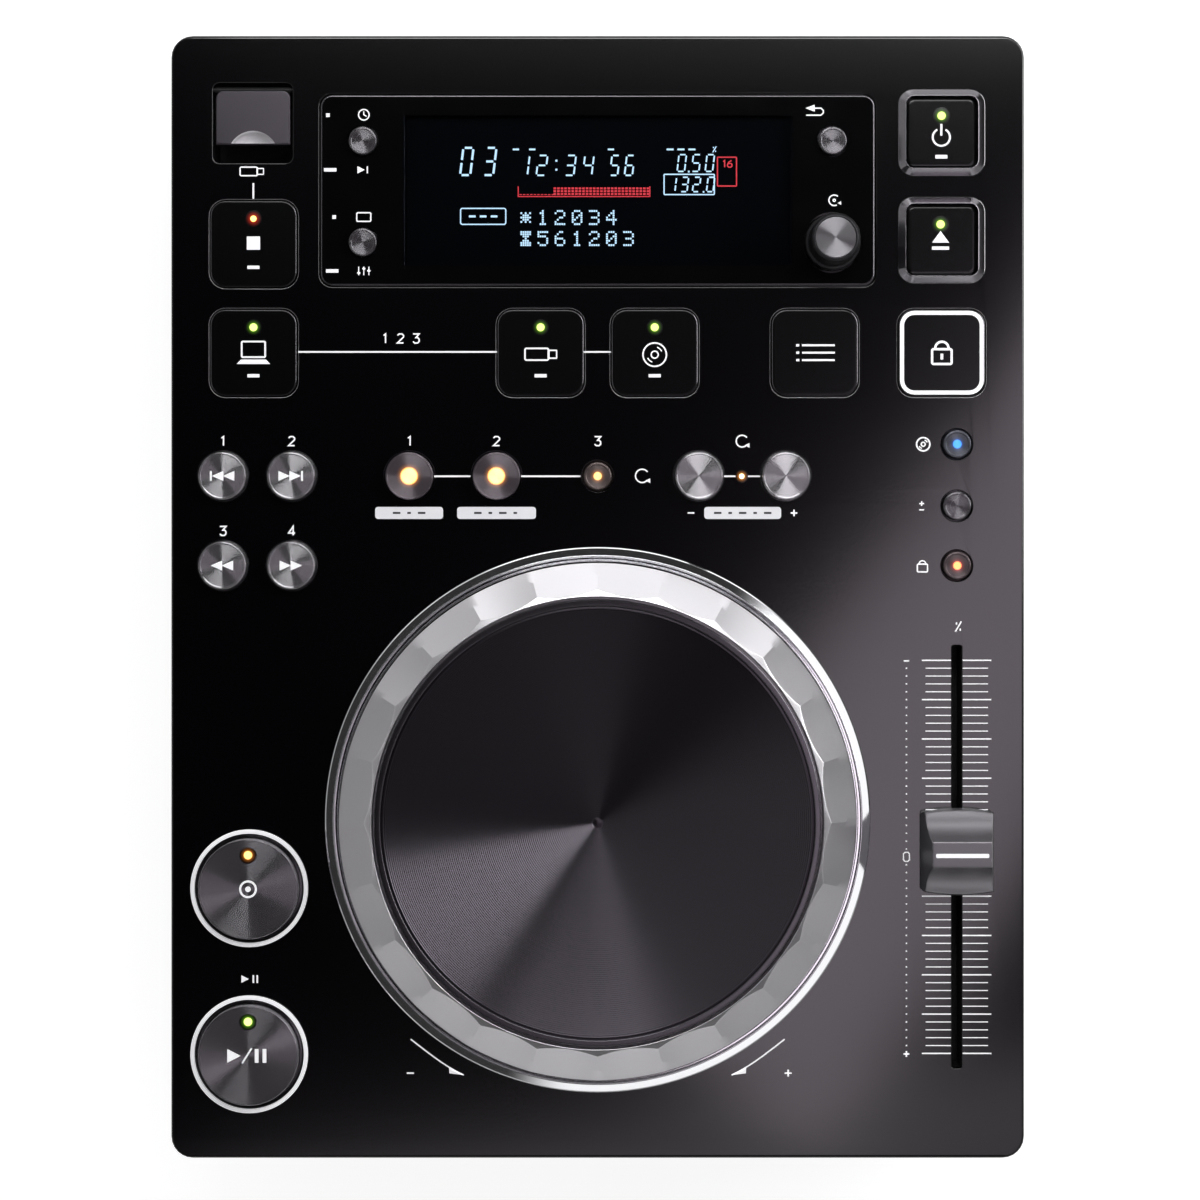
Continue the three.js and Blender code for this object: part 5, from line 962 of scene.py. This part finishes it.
# Display contents
SEGMENTS = {"0": "abcdef", "1": "bc", "2": "abged", "3": "abgcd", "4": "fgbc", "5": "afgcd", "6": "afgedc"}
DOTS = {
    "0": "01110 10001 10011 10101 11001 10001 01110", "1": "00100 01100 00100 00100 00100 00100 01110",
    "2": "01110 10001 00001 00110 01000 10000 11111", "3": "11110 00001 00001 01110 00001 00001 11110",
    "4": "00010 00110 01010 10010 11111 00010 00010", "5": "11111 10000 11110 00001 00001 10001 01110",
    "6": "00110 01000 10000 11110 10001 10001 01110", "*": "00000 10101 01110 11111 01110 10101 00000",
    "#": "11111 11111 01110 00100 01110 11111 11111"}
SEGMENT_ENDS = {"a": (0, 2, 1, 2), "b": (1, 2, 1, 1), "c": (1, 1, 1, 0), "d": (0, 0, 1, 0), "e": (0, 1, 0, 0),
                "f": (0, 2, 0, 1), "g": (0, 1, 1, 1)}
# digit and x, then the row's y, width, height and stroke
DIGIT_ROWS = (
    ((("0", -33.6), ("3", -27.7)), 111.8, 2.6, 7.0, 0.55),
    ((("1", -18.9), ("2", -14.3), ("3", -7.0), ("4", -2.4)), 110.8, 2.3, 5.1, 0.42),
    ((("5", 4.4), ("6", 8.2)), 110.8, 2.0, 5.1, 0.42),
    ((("0", 21.6), ("5", 25.3), ("0", 28.8)), 111.4, 1.9, 4.3, 0.36),
    ((("1", 19.2), ("3", 22.3), ("2", 25.4), ("0", 29.0)), 105.9, 1.7, 3.7, 0.36))


def segment_digit(marks, digit, x, y, w, h, stroke, lean=0.12, gap=0.7):
    """An italic seven-bar digit centred on x, y."""
    for name in SEGMENTS[digit]:
        x0, y0, x1, y1 = SEGMENT_ENDS[name]
        a = Vector((x - w / 2 + x0 * w, y - h / 2 + y0 * h / 2))
        b = Vector((x - w / 2 + x1 * w, y - h / 2 + y1 * h / 2))
        d = (b - a).normalized() * stroke * gap
        a, b = a + d, b - d
        for p in (a, b):
            p.x += (p.y - y) * lean
        marks.line([a, b], stroke)


def dot_text(marks, text, y):
    cell, dot, letter_pitch, start_x = 0.56, 0.45, 4.4, -19.6
    for i, letter in enumerate(text):
        for j, line in enumerate(DOTS[letter].split()):
            marks.rects((start_x + i * letter_pitch + k * cell, y + (3 - j) * cell, dot, dot)
                        for k, state in enumerate(line) if state == "1")


def display():
    z = -2.3
    cyan, red = Marks(z, 0.05), Marks(z, 0.05)
    for digits, *sizes in DIGIT_ROWS:
        for digit, x in digits:
            segment_digit(cyan, digit, x, *sizes)
    cyan.rects([(-10.6, 109.7, 0.5, 0.5), (-10.6, 112.0, 0.5, 0.5), (23.4, 109.2, 0.45, 0.45),
                (27.2, 104.0, 0.4, 0.4)])
    cyan.frame(23.5, 105.9, 12.9, 5.2, 0.2, 0.3)
    cyan.frame(-29.4, 97.7, 11.6, 4.1, 0.5, 0.3)
    cyan.rects((-32.2 + 2.8 * i, 97.7, 1.7, 0.5) for i in range(3))
    cyan.rects((x, 114.9, 1.6, 0.45) for x in (-21.0, -16.8, 3.4))
    cyan.rects((x, 114.9, 1.8, 0.45) for x in (18.6, 21.4, 24.2))
    writing(cyan, "%", 30.0, 114.9, 1.5, 0.26)
    dot_text(cyan, "*12034", 97.4)
    dot_text(cyan, "#561203", 92.0)
    red.line([(-20.4, 105.4), (-20.4, 102.8), (13.4, 102.8), (13.4, 105.4)], 0.26)
    bar_pitch = 0.92
    red.rects((-11.0 + i * bar_pitch, 103.45 + k * 0.72, 0.66, 0.5) for i in range(27) for k in range(3))
    red.rects((-19.8 + i * bar_pitch, 103.3, 0.6, 0.22) for i in range(10))
    red.frame(33.2, 109.2, 4.9, 7.4, 0.2, 0.32)
    writing(red, "16", 33.2, 111.2, 1.7, 0.3)
    for marks, name, material in ((cyan, "display_digits", DISPLAY_CYAN), (red, "display_bars", DISPLAY_RED)):
        marks.done(name, material, (0, WINDOW_Y, z), slot="display_face")


display()


# Fader cap
def fader_cap():
    x, y = PLACE["fader_cap"]
    wide, taper, high, low = 19, 3.8, 15.5, 0.6
    foot, waist, brow, crest = (10.23, 0), (11.44, 3.1), (10.45, 6.51), (3.19, high)
    half = curve(foot, waist, brow, 8) + curve(brow, (5.5, 8.53), crest, 8)[1:]
    line = half + [(-across, z) for across, z in half[::-1]]
    shape, sections = Shape(), []
    for share in (-1, -0.93, -0.8, -0.6, -0.35, 0, 0.35, 0.6, 0.8, 0.93, 1):
        bow = 0.03 - 0.12 * share * share
        section = []
        for across, z in line:
            rise = z / high
            half_width = (wide - taper * min(1, rise)) / 2
            section.append((x + share * half_width, y + across * (1 + bow * (1 - rise)), low + z))
        sections.append(section)
    shape.loft(sections)
    shape.prism(rounded(x, y, 1.8, 6, 0.3), -11.5, 1.0)
    build(shape, "fader_cap_body", FADER_SILVER, "fader_cap", "fader_silver", ["fader_cap"], (x, y, 0),
          sharp=35, ease=0.7)
    top = low + high
    white = Marks(top, 0.05)
    white.area(rounded(x, y - 0.3, 13.4, 1.05, 0.3, 3))
    white.done("fader_cap_line", PRINT_WHITE_PAINTED_GLOW, (x, y, top), "fader_cap")


# Cover of the memory-stick bay: a plate with a scoop that falls to its front edge, on a barrel between pins
FLAP_W, FLAP_FRONT, FLAP_TOP = 19.3, 115.8, -0.8
HINGE_Y, HINGE_Z = 130.0, -1.6


def flap_outline(inset, r):
    """The plate's outline: rounded by r at the hinge and nearly square in front."""
    points = []
    deep, front_r = HINGE_Y - FLAP_FRONT, 0.3
    for k, (sx, sy, corner) in enumerate(((1, 1, r), (-1, 1, r), (-1, -1, front_r), (1, -1, front_r))):
        cx = BAY_X + sx * (FLAP_W / 2 - inset - corner)
        cy = (FLAP_FRONT + HINGE_Y) / 2 + sy * (deep / 2 - inset - corner)
        for i in range(9):
            a = TAU * (k + i / 8) / 4
            points.append((cx + corner * math.cos(a), cy + corner * math.sin(a)))
    return points


def flap():
    shape = Shape()
    notch_r, notch_gap, notch_deep, rim, n = 6.5, 2.8, 0.8, 0.45, 32
    outline, top = flap_outline(0, 2.4), flap_outline(rim, 2.0)
    low, mid, soft, ring = (shape.loop(points) for points in (
        raised(outline, HINGE_Z - 0.8), raised(outline, FLAP_TOP - 0.5),
        raised(flap_outline(0.15, 2.3), FLAP_TOP - 0.12), raised(top, FLAP_TOP)))
    for a, b in ((low, mid), (mid, soft), (soft, ring)):
        shape.strip(a, b)
    shape.face(low[::-1])

    front = FLAP_FRONT + rim
    low_turn = math.asin((notch_gap + rim) / notch_r)
    turns = [low_turn + (math.pi - 2 * low_turn) * i / n for i in range(n + 1)]
    arc = [(BAY_X + notch_r * math.cos(t), FLAP_FRONT - notch_gap + notch_r * math.sin(t)) for t in turns]
    scoop = [shape.loop(raised(arc, FLAP_TOP))]
    # the top face starts at the right end of the front line, goes round the plate and back along the scoop
    start = max(range(len(top)), key=lambda i: (abs(top[i][1] - front) < 1e-6, top[i][0]))
    ids = ring[start:] + ring[:start] + scoop[0][::-1]
    for tri in tessellate_polygon([[Vector((*p, 0)) for p in top[start:] + top[:start] + arc[::-1]]]):
        shape.face([ids[i] for i in tri])
    for share in (0.94, 0.8, 0.55, 0.25, 0.02):
        z = FLAP_TOP - notch_deep * (1 - share ** 2) ** 0.45
        bent = [(BAY_X + (x - BAY_X) * share, front + (y - front) * share, z) for x, y in arc]
        scoop.append(shape.loop(bent))
    for a, b in zip(scoop, scoop[1:]):
        for i in range(n):
            shape.face([a[i], a[i + 1], b[i + 1], b[i]], 1)
    shape.face(scoop[-1], 1)
    shape.face([row[0] for row in scoop] + [row[-1] for row in scoop[::-1]], 1)

    barrel_r, pin_r, sides = 0.8, 0.6, 20
    barrel_end, pin_end = FLAP_W / 2, 11.25
    barrel = [(-pin_end, pin_r), (-barrel_end, pin_r), (-barrel_end, barrel_r), (barrel_end, barrel_r),
              (barrel_end, pin_r), (pin_end, pin_r)]
    rings = [[(BAY_X + dx, y, z) for y, z in circle(HINGE_Y, HINGE_Z, r, sides)] for dx, r in barrel]
    shape.loft(rings, mark=2)
    # the scoop's faces (material 1) carry the painted highlight
    build(shape, "bay_flap", [FLAP_BLACK, SCOOP_PAINTED_HIGHLIGHT, CASE_BLACK], "usb_flap", "case_black", ["usb_flap"],
          (BAY_X, (FLAP_FRONT + HINGE_Y) / 2, HINGE_Z), sharp=40)


def foot(node):
    pad = Shape()
    path = eased([(0, -88.0, 0), (4.5, -88.0, 0), (4.5, -91.0, 0.2), (12, -91.0, 0.9), (12, -89.5, 0.3),
                  (10.6, -83.3, 0.2), (0, -83.3, 0)])
    turned(pad, *PLACE[node], path, 64)
    build(pad, node + "_pad", FOOT_RUBBER, "player_body", "foot_rubber", [node], (*PLACE[node], -87))


fader_cap()
flap()
for side in ("left", "right"):
    for end in ("front", "rear"):
        foot(f"foot_{end}_{side}")


# CAD nodes that are refined, by material, slot and ease, or kept as they are, by material
REFINED = {
    "case_shell": (CASE_BLACK, "case_black", 0.4), "rear_panel": (CASE_BLACK, "sheet_steel", 0.15),
    "bottom_plate": (SHEET_STEEL, "sheet_steel", 0.15), "usb_bay": (CASE_BLACK, "case_black", 0.2),
    "jog_bearing": (CASE_BLACK, "case_black", 0.2), "usb_socket": (SHEET_STEEL, "sheet_steel", 0.08),
    "display_module": (DISPLAY_FACE, "display_face", 0.1), "ac_inlet": (INLET_BLACK, "inlet_black", 0.2),
    "jack_board": (INLET_BLACK, "board_green", 0.12)}
KEPT = {
    "control_board": BOARD_GREEN, "main_board": BOARD_GREEN, "power_supply": BOARD_GREEN,
    "fader_unit": INLET_BLACK, "encoder_rotor": ROTOR_WHITE, "drive_chassis": SHEET_STEEL,
    "drive_cover": SHEET_STEEL, "traverse_frame": SHEET_STEEL, "turntable": INLET_BLACK,
    "pickup_sled": SLED_GREY, "lead_screw": SHAFT_STEEL, "feed_roller": ROLLER_RUBBER}


def refined(node, material, slot, ease):
    """A copy of a CAD node's mesh, welded and with its edges eased, that stands for the node."""
    source = frame["nodes"][node]
    low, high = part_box(node)
    centre = (low + high) / 2
    work = bmesh.new()
    work.from_mesh(source.data)
    bmesh.ops.remove_doubles(work, verts=work.verts, dist=2e-6)
    bmesh.ops.dissolve_limit(work, angle_limit=math.radians(0.6), verts=work.verts, edges=work.edges)
    bmesh.ops.translate(work, verts=work.verts, vec=-centre)
    mesh = bpy.data.meshes.new(node + "_body")
    work.to_mesh(mesh)
    work.free()
    at = (centre.x / MM, centre.y / MM, centre.z / MM - PANEL_TOP)
    settle(mesh, node + "_body", material, source["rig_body"], slot, [node], at, 30, ease)


for key, looks in REFINED.items():
    refined(key, *looks)
for key, material in KEPT.items():
    materials = frame["nodes"][key].data.materials
    materials.clear()
    materials.append(material)


# Screws and the rings of the phono jacks
TRAY_BACK = 127.45


def facing_back(points, x, y, z):
    """Turned points laid over so that they face backward."""
    return [(x - px, y + pz, z + py) for px, py, pz in points]


def screw(name, at, r, down):
    """A domed cross-head screw that faces down or, on the rear, back."""
    shape = Shape()
    x, y, z = at
    profile = eased([(0, -0.6, 0), (r, -0.6, 0), (r, 0.1, 0.3), (r * 0.55, 0.75, 0.3), (0.62, 0.9, 0)])
    turned(shape, 0, 0, profile + [(0.6, 0.2), (0, 0.1)], 40)
    # painted shade: a dark raised cross in place of the shaded cross recess
    for w, d in ((1.4, 0.22), (0.22, 1.4)):
        shape.loft([raised([(-w, -d), (w, -d), (w, d), (-w, d)], level) for level in (0.5, 0.93)], 1)
    if down:
        shape.points = [(x + px, y - py, z - pz) for px, py, pz in shape.points]
    else:
        shape.points = facing_back(shape.points, *at)
    build(shape, name, [SHEET_STEEL, DARK_PRINT_AND_PAINTED_SHADE], "player_body", "sheet_steel", (), at, sharp=30)


def jack_ring(name, x, material):
    """A coloured ring round the end of a phono barrel."""
    ring = Shape()
    path = eased([(2.6, 0, 0), (4.5, 0, 0.2), (4.5, 2.4, 0.4), (2.6, 2.4, 0.2)])
    turned(ring, 0, 0, path, 48, closed=True)
    y, z = span("jack_board")[1][1] - 2.2, middle("jack_board")[2] - PANEL_TOP
    ring.points = facing_back(ring.points, x, y, z)
    build(ring, name, material, "player_body", None, (), (x, y, z))


for i, (x, y) in enumerate(((-98, -60), (98, -60), (-98, 60), (98, 60), (0, -132), (0, 132))):
    screw(f"bottom_screw_{i + 1}", (x, y, -83.0), 2.6, True)
for i, (x, z) in enumerate(((-87.5, 22.5), (87.5, 22.5), (-87.5, 51.5), (87.5, 51.5))):
    screw(f"rear_screw_{i + 1}", (x, TRAY_BACK, z - PANEL_TOP), 2.2, False)
jack_ring("left_phono_ring", -75, JACK_WHITE)
jack_ring("right_phono_ring", -57, JACK_RED)


# Floor, sky, lights and camera
def floor():
    n = new_material("studio_floor")
    noise = n.noise(n.coords(), 40.0)
    seen = n.add("ShaderNodeLightPath").outputs["Is Camera Ray"]
    material = n.surface({
        "Base Color": n.blend(noise, (0.5, 0.5, 0.5, 1), (0.53, 0.53, 0.53, 1)), "Roughness": 0.9,
        "Specular IOR Level": 0.1, "Emission Color": (1, 1, 1, 1),
        "Emission Strength": n.math("MULTIPLY", seen, 0.86)})
    mesh = bpy.data.meshes.new("floor")
    reach, drop = 3.0, 0.0002
    corners = [(-reach, -reach, 0), (reach, -reach, 0), (reach, reach, 0), (-reach, reach, 0)]
    mesh.from_pydata(corners, [], [(0, 1, 2, 3)])
    mesh.materials.append(material)
    plane = bpy.data.objects.new("floor", mesh)
    plane.location = (0, 0, -drop)
    bpy.context.scene.collection.objects.link(plane)


# white cards round the table: azimuth, half width, softness, lower and upper edge in degrees, radiance
WHITE_CARDS = [
    (10, 31, 7, 0, 14, 1.6),
    (225, 120, 10, 0, 13, 0.33),
    (195, 32, 24, 0, 13, 0.42),
    (326, 16, 14, 0, 13, 0.4),
    (300, 60, 20, 30, 43, 1.0),
    (116, 76, 7, 15, 25, 1.15),
]
AMBIENT = 0.12


def sky():
    """A dim room that is darkest low down and overhead, with the white cards, and white to the camera."""
    world = bpy.data.worlds.new("studio")
    bpy.context.scene.world = world
    n = Nodes(world)
    direction = n.add("ShaderNodeTexCoord").outputs["Generated"]
    parts = n.add("ShaderNodeSeparateXYZ", {0: direction})
    height = n.math("ABSOLUTE", parts.outputs[2])
    level_way = n.add("ShaderNodeCombineXYZ", {0: parts.outputs[0], 1: parts.outputs[1]})
    flat = n.add("ShaderNodeVectorMath", {0: level_way.outputs[0]}, operation="NORMALIZE").outputs[0]
    blur = 0.03

    def ramp(*steps):
        return n.ramp(*steps, "SMOOTHSTEP")

    def cosine(degrees):
        return math.cos(math.radians(max(0, degrees)))

    level = n.math("MULTIPLY", ramp(height, 0.5, 0.62, 0.03, AMBIENT), ramp(height, 0.68, 0.93, 1.0, 0.04))
    for azimuth, half, soft, low, high, radiance in WHITE_CARDS:
        a = math.radians(azimuth)
        toward = n.add("ShaderNodeVectorMath", {0: flat, 1: (math.sin(a), math.cos(a), 0)},
                       operation="DOT_PRODUCT").outputs["Value"]
        inside = ramp(toward, cosine(half + soft), cosine(half - soft), 0.0, 1.0)
        rise, fall = math.sin(math.radians(low)), math.sin(math.radians(high))
        if low > 0:
            inside = n.math("MULTIPLY", inside, ramp(height, rise - blur, rise + blur, 0.0, 1.0))
        inside = n.math("MULTIPLY", inside, ramp(height, fall - blur, fall + blur, 1.0, 0.0))
        level = n.math("ADD", level, n.math("MULTIPLY", inside, radiance))
    seen = n.add("ShaderNodeLightPath").outputs["Is Camera Ray"]
    power = n.math("MAXIMUM", level, seen)
    shade = n.add("ShaderNodeBackground", {"Color": (1, 1, 1, 1), "Strength": power})
    n.add("ShaderNodeOutputWorld", {0: shade.outputs[0]})


def softbox(name, azimuth, elevation, distance, width, height, radiance, tint=(1, 1, 1), roll=0):
    """An area light aimed at the panel: azimuth clockwise from the far side, in degrees."""
    aim = Vector((0, 0, 0.09))
    data = bpy.data.lights.new(name, "AREA")
    data.shape = "RECTANGLE"
    data.size, data.size_y = width, height
    data.energy = radiance * math.pi * width * height
    data.color = tint
    light = bpy.data.objects.new(name, data)
    a, e = math.radians(azimuth), math.radians(elevation)
    way = Vector((math.sin(a) * math.cos(e), math.cos(a) * math.cos(e), math.sin(e)))
    light.location = aim + way * distance
    spin = Quaternion((0, 0, 1), math.radians(roll))
    light.rotation_euler = (way.to_track_quat("Z", "Y") @ spin).to_euler()
    light.visible_camera = False
    bpy.context.scene.collection.objects.link(light)


def camera():
    data = bpy.data.cameras.new("camera")
    data.lens, data.sensor_width = 115.35, 36
    data.clip_start, data.clip_end = 0.01, 20
    eye = bpy.data.objects.new("camera", data)
    eye.location = (0.0006, -0.0008, 1.076)
    bpy.context.scene.collection.objects.link(eye)
    bpy.context.scene.camera = eye


floor()
sky()
softbox("main_light", 65, 33, 0.8, 0.58, 0.22, 6.8)
softbox("high_light", 6, 59, 0.75, 0.42, 0.22, 6.5)
softbox("top_light", 99, 80.2, 1.515, 0.64, 0.2, 1.5, tint=(1.0, 0.89, 1.0), roll=-28)
softbox("front_light", 171, 75.7, 1.55, 0.66, 0.09, 0.6, tint=(1.0, 0.93, 1.0))
camera()
bpy.context.scene.view_settings.view_transform = "Standard"
